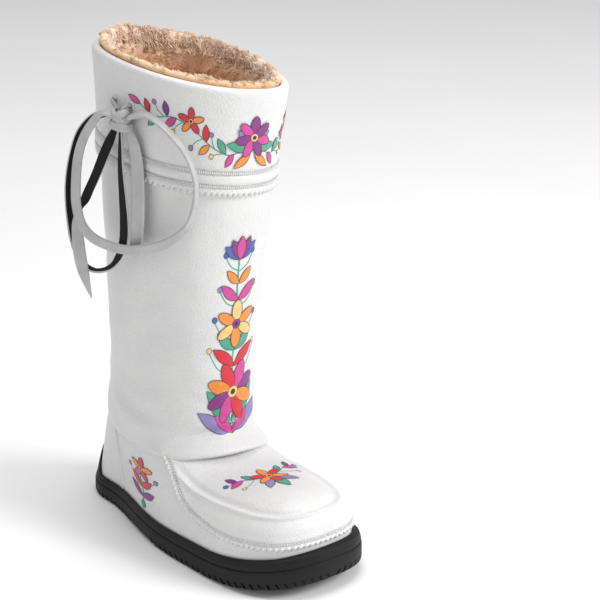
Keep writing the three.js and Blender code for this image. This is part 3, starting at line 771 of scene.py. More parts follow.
def under(s):
    return spring(s) + sole["arch"] * ease(0.3, 0.36, s) * (1 - ease(0.44, 0.5, s))


# station, crest, shoulder, swell
footRows = [(0, 118, 3.6, 2), (0.15, 118, 3.4, 7.5), (0.36, 106, 3.1, 6), (0.5, 83.5, 3, 1.5), (0.6, 67.6, 3.1, 0),
            (0.7, 65, 2.9, -0.5), (0.78, 67, 2.6, -1), (0.836, 67.5, 2.5, -1.5), (1, 67.5, 2.5, -2)]
foot = {"lean": 0.31, "spineHeel": 98, "spineToe": -94, "ridgeAt": 0.48, "ridge": 1.7, "ridgeWide": 0.026,
        "swell": 0.9, "dip": 1.1}


def footPoint(t, v, grow, ridged=False):
    u = t % 1
    seat = seatInset(u) + gap - grow
    s, bx, by = plan(t, seat)
    spineY = clamp(sole["length"] * (0.5 - s), foot["spineToe"], foot["spineHeel"])
    spineS = 0.5 - spineY / sole["length"]
    half = (halfWidth(spineS, True) - halfWidth(spineS, False)) / 2
    spineX = toeShift(spineS) + half + 3 * ease(0.4, 0.6, spineS) * (1 - ease(0.7, 0.84, spineS))
    if v < 0:
        return (bx - centreX, by, lip(s) + v * (sole["cup"] - gap))
    crest = curve(footRows, spineS) + grow
    power = curve(footRows, s, 2)
    angle = v * math.pi / 2
    inward = 1 if v >= 1 else 1 - math.cos(angle) ** (2 / power)
    upward = 1 if v >= 1 else math.sin(angle) ** (2 / power)
    welt = 0
    if ridged:
        along = ease(0.5, 0.58, s)
        welt = foot["ridge"] * hump(v, foot["ridgeAt"], foot["ridgeWide"]) * along
        welt += (foot["swell"] * hump(v, 0.3, 0.13) - foot["dip"] * hump(v, foot["ridgeAt"] + 0.07, 0.045)) * along
    out = curve(footRows, s, 3) * math.sin(2 * angle) + welt
    if out:
        s, bx, by = plan(t, seat - out)
    low = lip(s)
    rise = (crest - low) * upward + welt * 0.8
    lean = foot["lean"] * rise * (1 - ease(0, 0.34, s))
    return (bx + (spineX - bx) * inward - centreX, by + (spineY - by) * inward - lean, low + rise)


# cup sole: its wall in rows of inset and share of the height
tread = {"stations": 360, "underside": (38, 26, 14), "ripple": 0.12,
         "rows": [(4.4, 0.0), (1.6, 0), (0.6, 0.03), (0.15, 0.1), (0, 0.2), (0.05, 0.42), (0.2, 0.585), (0.5, 0.615),
                  (1.35, 0.64), (1.45, 0.665), (0.8, 0.69), (0.65, 0.72), (1.0, 0.8), (1.7, 0.89), (2.2, 0.95),
                  (3, 1)],
         # first and last station, number and turn of the grooves; the rest is in metres
         "grooves": [(0.06, 0.3, 5, 0.1), (0.5, 0.93, 9, -0.12)], "grooveSize": (0.16, 0.0034, 0.005),
         "notchEvery": 6.6, "notchSlant": 0.75, "notchWide": 0.0016, "notchTall": 0.0095}


def narrowed(t):
    return math.sin(math.pi * stationShare(t))


def soleRows():
    wall, cup = sole["wall"], sole["cup"]

    def below(inset):
        def spot(t):
            s, x, y = plan(t, inset * (0.55 + 0.45 * narrowed(t)))
            return x - centreX, y, under(s)
        return spot

    def side(inset, rise):
        def spot(t):
            s, x, y = plan(t, inset + (seatInset(t) - wall if inset >= 3 and rise == 1 else 0))
            ripple = tread["ripple"] * wobble(x, y, rise * 30, 0.12) if rise > 0.3 else 0
            return x - centreX, y, under(s) + (lip(s) - under(s)) * rise + ripple
        return spot

    def inside(inset, drop):
        def spot(t):
            s, x, y = plan(t, inset + seatInset(t) - wall)
            return x - centreX, y, lip(s) - drop
        return spot

    spots = [below(inset) for inset in tread["underside"]] + [side(*row) for row in tread["rows"]]
    spots += [inside(*row) for row in ((wall - 0.6, 0.05), (wall, 0.7), (wall, cup), (wall + 12, cup))]
    return [ringRow(tread["stations"], spot) for spot in spots]


def treadCutters():
    # bars for the grooves under the sole and slanted ones for the notches in its edge
    cutters = []

    def bar(location, rotation, scale):
        bpy.ops.mesh.primitive_cube_add(size=1, location=location, rotation=rotation, scale=scale)
        cutters.append(bpy.context.object)

    for low, high, count, turn in tread["grooves"]:
        for i in range(count):
            s = low + (high - low) * i / (count - 1)
            bar((0, sole["length"] * (0.5 - s) * 0.001, (under(s) - 0.5) * 0.001), (0, 0, turn), tread["grooveSize"])
    travelled, previous = 0, None
    for i in range(1200):
        t = i / 1200
        s, x, y = plan(t, 0)
        if previous:
            travelled += math.hypot(x - previous[0], y - previous[1])
        previous = (x, y)
        if travelled < tread["notchEvery"] or 0.33 < s < 0.47 or s < 0.03:
            continue
        travelled = 0
        _, nearX, nearY = plan(t, 3)
        outwards = Vector((x - nearX, y - nearY, 0)).normalized()
        along = Vector((-outwards.y, outwards.x, 0)) * (-1 if t < 0.5 else 1)
        raised = (Vector((0, 0, 1)) + along * tread["notchSlant"]).normalized()
        turned = Matrix((outwards, raised.cross(outwards), raised)).transposed()
        reach = 2.6 + 1.4 * ease(0.5, 0.85, s)
        bar(((x - centreX) * 0.001, y * 0.001, (under(s) + 1.2) * 0.001), turned.to_euler(),
            (reach * 0.001, tread["notchWide"], tread["notchTall"]))
    return cutters


def cupSole():
    rows = soleRows()
    faces = gridFaces(len(rows), tread["stations"], True) + capFaces(len(rows), tread["stations"])
    made = piece("cupSole", flat(rows), faces, ["rubber"], "rubber", ["outsole"])
    bpy.ops.object.select_all(action="DESELECT")
    pickOnly(*treadCutters())
    bpy.ops.object.join()
    joined = bpy.context.object
    applyModifier(made, "BOOLEAN", object=joined, operation="DIFFERENCE", solver="EXACT", use_self=True)
    bpy.data.objects.remove(joined, do_unlink=True)
    pickOnly(made)
    bpy.ops.object.shade_smooth_by_angle(angle=math.radians(28))
    made.select_set(False)


guard = {"span": 60, "levels": 26, "turns": 0.25, "high": 0.078, "skin": 2.6, "inside": 0.25, "down": 0.28}


def heelGuard():
    def sheet(grow, outer):
        rows = []
        for k in range(guard["levels"] + 1):
            part = -0.3 + 1.3 * k / guard["levels"]
            thin = grow - (0.9 * max(part, 0) + 0.9 * ease(0.85, 1, part) if outer else 0)
            row = []
            for i in range(guard["span"] + 1):
                t = (i / guard["span"] - 0.5) * guard["turns"]
                top = guard["high"] * (1 - ease(0.015, 0.1, abs(t)))
                low = -guard["down"] + guard["down"] * (part + 0.3) / 0.3
                row.append(footPoint(t, low if part < 0 else part * top, thin))
            rows.append(row)
        return rows

    points = flat(sheet(guard["skin"], True) + sheet(guard["inside"], False))
    piece("heelGuard", points, shellFaces(guard["levels"] + 1, guard["span"] + 1), ["rubber"], "rubber")


# inset from the sole's wall and height over the cup's floor
bed = {"stations": 160, "soft": 0.35,
       "rows": [(0.5, 0.3), (0, 1.3), (0, 3.4), (2.5, 4.5), (12, 4.6), (24, 4.3), (30, 4.2)]}


def footbed():
    into = sole["wall"] + 2 + 2 * gap

    def level(inset, up):
        def spot(t):
            narrow = 1 if inset < 4 else 0.5 + 0.5 * narrowed(t)
            s, x, y = plan(t, into + inset * narrow + seatInset(t) - sole["wall"])
            soft = bed["soft"] * wobble(x, y, 0, 0.2) if up > 4 else 0
            return x - centreX, y, lip(s) - sole["cup"] + up + soft
        return spot

    rows = [ringRow(bed["stations"], level(*row)) for row in bed["rows"]]
    faces = gridFaces(len(rows), bed["stations"], True) + capFaces(len(rows), bed["stations"])
    piece("footbed", flat(rows), faces, ["felt"], "felt", ["insole"])


cupSole()
heelGuard()
footbed()
print("sole made")
# foot upper, vamp and heel seams
upper = {"stations": 300, "wall": 0.0019, "soft": 0.35,
         "levels": [-0.7, -0.35, 0, 0.012, 0.024, 0.036] + [0.05 + 0.95 * i / 60 for i in range(61)]}


def insideLeg(point):
    if point[2] < leg["openFrom"]:
        return False
    x, y = point[0] + centreX - leg["x"], point[1] - curve(legRows, leg["ankle"], 1)
    w, d = curve(legRows, leg["ankle"], 2) - leg["slack"], curve(legRows, leg["ankle"], 3) - leg["slack"]
    return abs(x / w) ** (2 / leg["corner"]) + abs(y / d) ** (2 / leg["corner"]) < 1


def footUpper():
    def level(v):
        def spot(t):
            soft = upper["soft"] * wobble(*footPoint(t, v, 0), 0.035) * ease(0, 0.2, v)
            return footPoint(t, v, soft)
        return spot

    points = flat(ringRow(upper["stations"], level(min(v, 1))) for v in upper["levels"])
    faces = gridFaces(len(upper["levels"]), upper["stations"], True)
    faces = [face for face in faces if not all(insideLeg(points[i]) for i in face)]
    made = piece("footUpper", points, faces, ["leather"], "leather", ["upper"])
    applyModifier(made, "WELD", merge_threshold=0.00002)
    applyModifier(made, "SOLIDIFY", thickness=upper["wall"], offset=-1)


footUpper()

# station and lowest level of the vamp's edge
vampRows = [(0.4, 0.62), (0.518, 0.42), (0.61, 0.229), (0.736, 0.148), (0.857, 0.114), (1, 0.055)]
vamp = {"from": 0.225, "steps": 760, "levels": 58, "skin": 1.5, "tooth": 4.6, "toothDeep": 1.7, "roll": 1.5,
        "groove": 0.9, "edge": 1.1, "shown": (0.45, 0.49), "pitch": 1.8, "thread": 0.52, "seamUp": 3.6}


def vampLow(t):
    return curve(vampRows, stationShare(t))


def vampEdge():
    # stations along the edge, each with the way gone so far and the scale of its levels
    stations, travelled, previous = [], 0, None
    for i in range(vamp["steps"] + 1):
        t = vamp["from"] + (1 - 2 * vamp["from"]) * i / vamp["steps"]
        v = vampLow(t)
        p = Vector(footPoint(t, v, gap))
        travelled += (p - previous).length if previous else 0
        previous = p
        rising = (Vector(footPoint(t, v + 0.01, gap)) - p).length / 0.01
        level = (Vector(footPoint(t + 0.002, v, gap)) - p).length / 0.002
        slope = (vampLow(t + 0.002) - vampLow(t - 0.002)) / 0.004 * rising / level
        stations.append((t, travelled, rising / math.hypot(1, slope)))
    return stations


def vampPanel(stations):
    def spot(t, far, scale, k, grow, edge):
        puff = 0.5 + 0.5 * math.cos(2 * math.pi * far / vamp["tooth"])
        shown = ease(*vamp["shown"], stationShare(t))
        low = vampLow(t) - vamp["toothDeep"] * puff * shown / scale
        v = low + (1 - low) * (k / vamp["levels"]) ** 1.45
        if edge:
            near = (v - vampLow(t)) * scale
            swell = vamp["roll"] * hump(near, 0.5, 1.5) * (0.35 + 0.65 * puff)
            grow += shown * (swell - vamp["groove"] * hump(near, vamp["seamUp"], 1.1) + 0.35 * hump(near, 6.2, 2))
            grow -= vamp["edge"] * hump((v - low) * scale, 0, 0.45)
        return footPoint(t, v, grow, True)

    def sheet(grow, edge):
        return [spot(*station, k, grow, edge) for k in range(vamp["levels"] + 1) for station in stations]

    points = sheet(gap + vamp["skin"], True) + sheet(gap, False)
    rows, columns = vamp["levels"] + 1, vamp["steps"] + 1
    skin = [face for face in gridFaces(rows, columns, False) if not all(insideLeg(points[i]) for i in face)]
    made = piece("vampPanel", points, shellFaces(rows, columns, skin, False), ["leather"], "leather", ["vamp"])
    applyModifier(made, "WELD", merge_threshold=0.00001)


vampStations = vampEdge()
vampPanel(vampStations)

seam = {"levels": 60, "span": 9, "high": 0.34, "foot": 0.158, "lean": 0.085, "half": 0.0026, "raised": 1.5}


def heelSeam(side, name, node):
    def sheet(grow, raised):
        points = []
        for k in range(seam["levels"] + 1):
            v = 0.0003 + seam["high"] * k / seam["levels"]
            for i in range(seam["span"]):
                d = i / (seam["span"] - 1) * 2 - 1
                t = side * (seam["foot"] - seam["lean"] * v) + d * seam["half"]
                points.append(footPoint(t, v, grow + raised * math.cos(d * math.pi / 2)))
        return points

    points = sheet(0.15, seam["raised"]) + sheet(-0.3, 0)
    piece(name, points, shellFaces(seam["levels"] + 1, seam["span"]), ["leather"], "leather", [node])


heelSeam(1, "heelSeamLateral", "heel_seam_lateral")
heelSeam(-1, "heelSeamMedial", "heel_seam_medial")
print("foot made")
# leg: millimetres round it, and creases given as (turn, height, tilt, reach, width, depth)
legRound = 400
creases = [
    (0.45, 93, 0.22, 30, 4.5, -1.9), (0.50, 101, -0.12, 26, 4, -1.5), (0.475, 96.5, 0.05, 20, 3, 1.1),
    (0.40, 108, 0.42, 30, 6, 1.5), (0.36, 90, 0.15, 26, 5, 1.4), (0.31, 99, -0.2, 36, 7, -1.6),
    (0.24, 95, -0.3, 34, 7, 1.4), (0.16, 104, -0.45, 30, 6, -1.4), (0.53, 92, 0.15, 18, 3, -1.3),
    (0.56, 98, 0.2, 30, 5, 1.5), (0.62, 92, 0.3, 26, 5, -1.6), (0.70, 100, 0.2, 34, 7, 1.2),
    (0.80, 104, 0.3, 30, 7, -1.2), (0.93, 106, -0.2, 34, 7, -1.4), (0.05, 116, 0.2, 34, 8, 1.2),
    (0.42, 118, -0.35, 26, 5, -0.9), (0.30, 128, 0.2, 44, 9, -1.2), (0.45, 140, -0.25, 40, 9, 0.9),
    (0.22, 170, 0.35, 46, 10, 1.1), (0.35, 205, -0.2, 50, 11, -0.9), (0.12, 222, 0.3, 46, 10, -0.9),
    (0.27, 250, 0.1, 50, 12, 1.0), (0.60, 170, -0.2, 46, 10, -0.9), (0.75, 215, 0.25, 50, 11, 0.9),
    (0.88, 180, -0.3, 46, 10, 0.9), (0.48, 235, 0.15, 44, 12, -0.7), (0.67, 265, 0.1, 46, 11, 0.7),
]


def creaseDepth(t, z):
    total = 0
    for turn, height, tilt, reach, width, depth in creases:
        along = ((t - turn + 0.5) % 1 - 0.5) * legRound
        if abs(along) > 2 * reach:
            continue
        off = z - height - tilt * along - 0.004 * along * along
        if abs(off) < 3 * width:
            total += depth * math.exp(-(along / reach) ** 2 - (off / width) ** 2)
    return total


# turned: depth and height of the hem's inner rows; ups: the hem's outer rows; below the cuff the ripples fade
shaft = {"stations": 288, "rows": 78, "wall": 0.0018, "underRim": 5.5, "fade": (96, 84),
         "turned": ((18, 1.2), (8, 1.6), (3, 1.5), (1, 0.8)),
         "ups": [0, 0.8, 2, 3.5, 5, 7, 9, 11, 13.5] + [15.4 + 1.8 * i for i in range(14)]
         + [41.4 + 2.5 * i for i in range(17)]}


def legShaft():
    def hemTurn(deep, down):
        return lambda t: legAt(t, curve(hemRows, t) + down, skirtPuff(t, 0) - deep)

    def skirt(up):
        def spot(t):
            z = curve(hemRows, t) + up
            return legAt(t, z, skirtPuff(t, up) + creaseDepth(t, z))
        return spot

    def tube(share):
        def spot(t):
            hem, top = curve(hemRows, t), rimHeight(t)
            low = hem + shaft["ups"][-1]
            z = low + (top - shaft["underRim"] - low) * share
            fade = 1 - ease(top - shaft["fade"][0], top - shaft["fade"][1], z)
            return legAt(t, z, skirtPuff(t, z - hem) + (creaseDepth(t, z) + legRipple(t, z)) * fade)
        return spot

    spots = [hemTurn(*row) for row in shaft["turned"]] + [skirt(up) for up in shaft["ups"]]
    spots += [tube(k / shaft["rows"]) for k in range(1, shaft["rows"] + 1)]
    points = flat(ringRow(shaft["stations"], spot) for spot in spots)
    faces = gridFaces(len(spots), shaft["stations"], True)
    made = piece("legShaft", points, faces, ["leather"], "leather", ["shaft"])
    applyModifier(made, "SOLIDIFY", thickness=shaft["wall"], offset=-1)


legShaft()

# seams: drop, distance out and length of their stitches
cuff = {"teeth": 92, "toothDeep": 3, "stations": 736, "stitches": 250, "thread": 0.62,
        "seams": {"cuffSeamUpper": (65.5, 2.75, 2.7), "cuffSeamLower": (76.1, 3.2, 2.5)}}
# drop below the rim and distance out, from the pinked edge up and over the rim
cuffRows = [(81.5, 1.9), (81, 3.2), (79.8, 3.9), (78.4, 3.8), (77.3, 2.9), (76.1, 1.9), (75, 2.4), (73.6, 3.4),
            (71.5, 3.8), (69, 3.7), (67.4, 2.8), (66.4, 1.8), (65.4, 1.3), (64.3, 1.7), (62.5, 2.4), (59, 2.4),
            (56, 2.3), (52, 2.2), (48, 2.1), (44, 2.05), (40, 2), (35, 2.05), (30, 2.15), (25, 2.3), (20, 2.4),
            (16, 2.55), (12, 2.7), (7, 2.9), (4, 2.9), (2, 2.3), (0.7, 1.1), (0, -0.7), (0.1, -2), (0.9, -3.4),
            (3, -4), (10, -4)]
cuffInner = [(10, -2.2), (5, -2.2), (4.8, 0.3), (12, 0.3), (40, 0.3), (66, 0.3), (76, 0.3)]


def cuffLow(t, drop):
    x, _ = legOval(t, leg["top"] - drop, 0)
    return 0.045 * x * ease(40, 62, drop)


def cuffPoint(t, drop, out):
    a = 2 * math.pi * t
    soft = 0.35 * wobble(math.cos(a) * 2.2, math.sin(a) * 2.2, drop * 0.03, 1) * ease(3, 20, drop)
    return legDrop(t, drop - cuffLow(t, drop), out + soft)


def cuffFold():
    def level(drop, out, teeth=0):
        def spot(t):
            tooth = 0.5 - 0.5 * math.cos(2 * math.pi * t * cuff["teeth"])
            return cuffPoint(t, drop + cuff["toothDeep"] * tooth * teeth, out)
        return spot

    pinked = (1, 1, 0.8, 0.35)
    spots = [level(drop, out + gap, pinked[i] if i < len(pinked) else 0) for i, (drop, out) in enumerate(cuffRows)]
    spots += [level(drop, out + 0.1) for drop, out in cuffInner] + [level(81.2, gap + 0.1, 1)]
    points = flat(ringRow(cuff["stations"], spot) for spot in spots)
    piece("cuffFold", points, loopFaces(len(spots), cuff["stations"]), ["leather"], "leather", ["cuff"])


cuffFold()
print("leg and cuff made")


# stitches: short raised threads joined in one mesh for each seam
def threads(name, spans, thick):
    points, faces, sides = [], [], 6
    profile = [(0, 0.3), (0.18, 0.85), (0.5, 1), (0.82, 0.85), (1, 0.3)]
    for a, b, out in spans:
        along = b - a
        across = along.cross(out).normalized()
        up = across.cross(along).normalized()
        start = len(points)
        for share, size in profile:
            middle = a + along * share + up * (0.55 * thick * math.sin(math.pi * share))
            for k in range(sides):
                angle = 2 * math.pi * k / sides
                points.append(middle + (across * math.cos(angle) + up * math.sin(angle)) * (thick * size))
        faces += [face[::-1] for face in gridFaces(len(profile), sides, True, start)]
        end = start + (len(profile) - 1) * sides
        faces += [tuple(range(start, start + sides)), tuple(range(end, end + sides))[::-1]]
    piece(name, points, faces, ["leather"], "leather")


def cuffStitches():
    for name, (drop, out, tall) in cuff["seams"].items():
        spans = []
        for i in range(cuff["stitches"]):
            t = i / cuff["stitches"]
            a = Vector(cuffPoint(t, drop + tall / 2, out + gap))
            b = Vector(cuffPoint(t + 0.0009, drop - tall / 2, out + gap))
            away = (a - Vector((0, curve(legRows, 300, 1), a.z))).normalized()
            spans.append((a, b, away))
        threads(name, spans, cuff["thread"])


def vampStitches():
    spans, goal = [], 0
    out = gap + vamp["skin"] + 0.3
    for t, far, scale in vampStations:
        if far < goal or stationShare(t) < 0.47:
            continue
        goal = far + vamp["pitch"]
        v = vampLow(t) + vamp["seamUp"] / scale
        a = Vector(footPoint(t, v - 1.0 / scale, out, True))
        b = Vector(footPoint(t + 0.0006, v + 1.0 / scale, out, True))
        away = Vector(footPoint(t, v, out + 1, True)) - (a + b) / 2
        spans.append((a, b, away.normalized()))
    threads("vampSeam", spans, vamp["thread"])


cuffStitches()
vampStitches()
print("stitches made")


# eyelets
ringSize = {"drop": 31, "out": 2.7, "major": 0.0026, "minor": 0.00075}


def eyelet(name, node, t):
    centre = Vector(legDrop(t, ringSize["drop"], ringSize["out"]))
    out = (centre - Vector((0, curve(legRows, 350, 1), centre.z))).normalized()
    turned = out.to_track_quat("Z", "Y").to_euler()
    bpy.ops.object.select_all(action="DESELECT")
    bpy.ops.mesh.primitive_torus_add(location=(centre + out * 0.35) * 0.001, rotation=turned,
                                     major_radius=ringSize["major"], minor_radius=ringSize["minor"],
                                     major_segments=36, minor_segments=12)
    made = bpy.context.object
    made.name = name
    made.data.materials.append(looks["metal"])
    bpy.ops.object.transform_apply(location=True, rotation=True, scale=True)
    bpy.ops.object.shade_smooth()
    made.select_set(False)
    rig.ride(made, "root")
    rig.slot(made, "metal")
    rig.replaces(made, node)
eyelet("eyeletBack", "eyelet_back", 0.2363)
eyelet("eyeletFront", "eyelet_front", 0.2705)


# fleece: a curled sheet inside the leg and locks standing along the rim
fleece = {"stations": 320, "rimLocks": 11000, "innerLocks": 8000, "deep": 200, "innerRows": 89,
          "rimOut": (-11.2, -3.4), "rimHigh": (1.8, 3.4), "rimThick": (0.34, 0.62),
          "innerHigh": (1.4, 2.8), "innerThick": (0.45, 0.8)}
fleeceRows = [(200, -2.6), (120, -2.6), (40, -2.6), (12, -2.6), (10.8, -4.4), (5, -4.3), (1.2, -4.2), (-0.5, -3.1),
              (-1.8, -3.3), (-2.9, -4.7), (-3, -6.6), (-1.6, -8.6), (1.6, -10.2), (6, -11.4)]


def farSide(t):
    # the pile stands higher on the far side of the collar
    return ease(-0.25, 0.75, math.cos(2 * math.pi * (t - 0.9)))


def puffs(t, drop, scale, seed=0.0):
    a = 2 * math.pi * t
    return 0.5 - abs(wobble(math.cos(a) * 58 + seed, math.sin(a) * 78, drop, scale)) * 2


def fleecePoint(t, drop, out, wild):
    bump = 2.6 * puffs(t, drop, 0.085) + 1.1 * puffs(t, drop, 0.24, 40)
    rise = (0.6 + 3.8 * farSide(t)) * hump(drop, -2.6, 4)
    return legDrop(t, drop - rise - wild * bump * 0.45, out - wild * bump * 0.8)


def rimWild(out):
    return 0.15 + 0.5 * ease(-4.2, -6.5, out)


def pileOut(drop):
    return -11.4 + 2 * ease(10, 160, drop)


def tipShade(made, values):
    shade = made.data.attributes.new("tip", "FLOAT", "POINT")
    shade.data.foreach_set("value", values)


def fleeceLining():
    n, rows, shades = fleece["stations"], [], []
    for drop, out in fleeceRows:
        wild = rimWild(out) if drop < 1 or out < -5 else 0
        rows.append(ringRow(n, lambda t: fleecePoint(t, drop, out, wild)))
        shades += [0.1 + 0.5 * ease(-4, -8, out)] * n
    for k in range(1, fleece["innerRows"] + 1):
        drop = 6 + (fleece["deep"] - 6) * k / fleece["innerRows"]
        wild = 1 - ease(150, 200, drop)
        rows.append(ringRow(n, lambda t: fleecePoint(t, drop, pileOut(drop), wild)))
        shades += [0.5 * (1 - ease(3, 28, drop))] * n
    tipShade(piece("fleeceLining", flat(rows), loopFaces(len(rows), n), ["fleece"], "fleece", ["lining"]), shades)


def woolLocks(name, locks):
    points, faces, shades = [], [], []
    for root, along, bend, width, low, high in locks:
        side = along.cross(bend)
        side = side.normalized() if side.length > 0.01 else Vector((1, 0, 0))
        other = along.cross(side).normalized()
        start = len(points)
        for share, size in ((0, 1), (0.4, 0.95), (0.75, 0.6)):
            middle = root + along * share + bend * (share * share)
            for k in range(3):
                angle = 2 * math.pi * k / 3
                points.append(middle + (side * math.cos(angle) + other * math.sin(angle)) * width * size)
                shades.append(low + (high - low) * share)
        points.append(root + along + bend)
        shades.append(high)
        for k in range(3):
            j = (k + 1) % 3
            faces.append((start + k, start + 3 + k, start + 3 + j, start + j))
            faces.append((start + 3 + k, start + 6 + k, start + 6 + j, start + 3 + j))
            faces.append((start + 6 + k, start + 9, start + 6 + j))
        faces.append((start, start + 1, start + 2))
    tipShade(piece(name, points, faces, ["fleece"], "fleece"), shades)


def flow(point, scale, seed):
    x, y, z = point
    return Vector((wobble(x + seed, y, z, scale), wobble(x, y + seed, z, scale), wobble(x, y, z + seed, scale))) * 2


def fleeceLocks():
    draw = random.Random(11)
    rim, inner = [], []
    for i in range(fleece["rimLocks"]):
        t = draw.random()
        out = draw.uniform(*fleece["rimOut"])
        drop = -2.6 + 0.2 * (out + 6) ** 2 * (1 if out < -6 else 0.6)
        root = Vector(fleecePoint(t, drop + 1.1, out, rimWild(out)))
        inwards = (Vector((0, curve(legRows, 370, 1), root.z)) - root).normalized()
        high = draw.uniform(*fleece["rimHigh"]) * (0.7 + 0.6 * farSide(t)) * (0.8 + 0.2 * ease(-3.6, -6.5, out))
        along = Vector((0, 0, high)) + inwards * draw.uniform(-0.5, 0.9) * ease(-3, -6, out)
        along += flow(root, 0.12, 30) * 1.3
        bend = flow(root, 0.3, 70) * 1.2 + inwards * draw.uniform(-0.2, 1.2)
        pale = 0.25 + 0.75 * ease(-4.2, -7, out)
        rim.append((root, along, bend, draw.uniform(*fleece["rimThick"]), 0.15, pale * draw.uniform(0.75, 1)))
    for i in range(fleece["innerLocks"]):
        t, drop = draw.random(), draw.random() ** 1.6 * 130 + 3
        root = Vector(fleecePoint(t, drop, pileOut(drop) + 0.9, 1))
        inwards = (Vector((0, root.y * 0.4 + curve(legRows, root.z, 1) * 0.6, root.z)) - root).normalized()
        along = inwards * draw.uniform(*fleece["innerHigh"]) + flow(root, 0.11, 30) * 2
        along += Vector((0, 0, draw.uniform(-0.6, 1.2)))
        bend = flow(root, 0.3, 70) * 1.6
        low, high = 0.2 * (1 - ease(4, 20, drop)), 0.7 * (1 - ease(3, 30, drop)) + 0.08
        inner.append((root, along, bend, draw.uniform(*fleece["innerThick"]), low, high))
    woolLocks("fleeceRimLocks", rim)
    woolLocks("fleeceInnerLocks", inner)


fleeceLining()
fleeceLocks()
print("fleece made")


# printed flowers: leaves, petals, berries and stems laid on the leather
ink = {"purple": (0.235, 0.03, 0.225), "magenta": (0.62, 0.06, 0.3), "orange": (0.83, 0.27, 0.04),
       "red": (0.66, 0.02, 0.035), "teal": (0.07, 0.36, 0.24), "lavender": (0.27, 0.22, 0.46),
       "yellow": (0.82, 0.56, 0.2), "blue": (0.06, 0.13, 0.45), "line": (0.03, 0.025, 0.03)}
inkLift = 0.16  # over the leather
levelLift = 0.016  # from one shape to the next one over it
# where each sheet of print lies: round, height or drop, middle, stretch
prints = {"cuffRound": 455, "cuffDrop": 62, "rippleFrom": 81, "vampX": 3.5, "vampY": 62, "quarterAt": 0.385,
          "quarterLong": 1.7, "quarterZ": 44, "quarterTall": 0.85, "quarterLift": 0.25}


class Print:
    # shapes are drawn in millimetres on a flat sheet and laid on the surface by lay(x, y, lift)
    def __init__(self, lay):
        self.lay = lay
        self.points, self.faces, self.tints, self.level = [], [], [], 0

    def patch(self, rows, tint, lift):
        start, columns = len(self.points), len(rows[0])
        for row in rows:
            self.points += [Vector(self.lay(x, y, lift)) for x, y in row]
        made = gridFaces(len(rows), columns, False, start)
        x, y = rows[len(rows) // 2][columns // 2]
        away = Vector(self.lay(x, y, lift + 1)) - Vector(self.lay(x, y, lift))
        a, b, c, d = (self.points[i] for i in made[len(made) // 2])
        if (c - a).cross(d - b).dot(away) < 0:
            made = [face[::-1] for face in made]
        self.faces += made
        self.tints += [ink[tint]] * len(made)

    def leaf(self, x, y, angle, length, width, tint, bend=0.0, full=False, edge=0.6):
        # a filled shape with a dark line round it
        self.level += 1
        lift, count = levelLift * self.level, max(10, int(length / 1.5))
        cos, sin = math.cos(angle), math.sin(angle)

        def spot(share, k, grown):
            reach = -grown + (length + 2 * grown) * share
            half = math.sin(math.pi * share) ** (0.5 if full else 0.85) * (width / 2 + grown) * k
            bow = bend * length * share * share + half
            return x + reach * cos - bow * sin, y + reach * sin + bow * cos

        shares = [i / count for i in range(count + 1)]
        across = (-1, -0.67, -0.33, 0, 0.33, 0.67, 1)
        self.patch([[spot(share, k, 0) for k in across] for share in shares], tint, lift)
        for k in (-1, 1):
            self.patch([[spot(share, k, 0), spot(share, k, edge)] for share in shares], "line", lift)

    def pair(self, y, angle, length, width, tint, bend=0.0, x=0):
        self.leaf(x, y, angle, length, width, tint, bend)
        self.leaf(-x, y, math.pi - angle, length, width, tint, -bend)

    def berry(self, x, y, size, tint):
        self.leaf(x - size, y, 0, 2 * size, 2 * size, tint, full=True, edge=0.45)

    def stem(self, spots, tint="teal", width=0.9):
        fine = smoothRoute([(x, y, 0) for x, y in spots], 1.6)
        rows = []
        for i, p in enumerate(fine):
            along = (fine[min(i + 1, len(fine) - 1)] - fine[max(i - 1, 0)]).normalized()
            rows.append([(p.x - along.y * k * width / 2, p.y + along.x * k * width / 2) for k in (1, -1)])
        self.patch(rows, tint, 0.01)

    def flower(self, x, y, petals, size, tints, heart, start=0.0, middle=0.18):
        for i in range(petals):
            angle = start + 2 * math.pi * i / petals
            self.leaf(x + math.cos(angle) * size * 0.1, y + math.sin(angle) * size * 0.1, angle,
                      size * 0.9, size * 0.42, tints[i % len(tints)], full=True)
        self.berry(x, y, size * middle, heart)
        self.berry(x, y, size * middle * 0.4, "line")

    def finish(self, name):
        made = piece(name, self.points, self.faces, ["ink"], "leather")
        colours = made.data.color_attributes.new("ink", "FLOAT_COLOR", "CORNER")
        loop = 0
        for polygon, tint in zip(made.data.polygons, self.tints):
            for _ in polygon.loop_indices:
                colours.data[loop].color = (*tint, 1)
                loop += 1


cuffFace = sorted(row for row in cuffRows if 3 < row[0] < 65 and row[1] > 0)


def onCuff(x, y, lift):
    # x runs round from the front's middle towards the medial side, y up from the seam
    drop = prints["cuffDrop"] - y
    t = 0.5 + x / prints["cuffRound"]
    return cuffPoint(t, drop, curve(cuffFace, drop) + gap + inkLift + lift)


def onLeg(x, y, lift):
    # y is the height itself
    t = 0.5 + x / legRound
    up = y - curve(hemRows, t)
    soft = creaseDepth(t, y) + (legRipple(t, y) if up > prints["rippleFrom"] else 0)
    return legAt(t, y, skirtPuff(t, up) + soft + inkLift + lift)


def searchPoint(pointAt, low, high, steps, short):
    # the level on the foot is halved in until the point is no longer short of its place
    for _ in range(steps):
        middle = (low + high) / 2
        point = pointAt(middle)
        low, high = (middle, high) if short(point) else (low, middle)
    return point


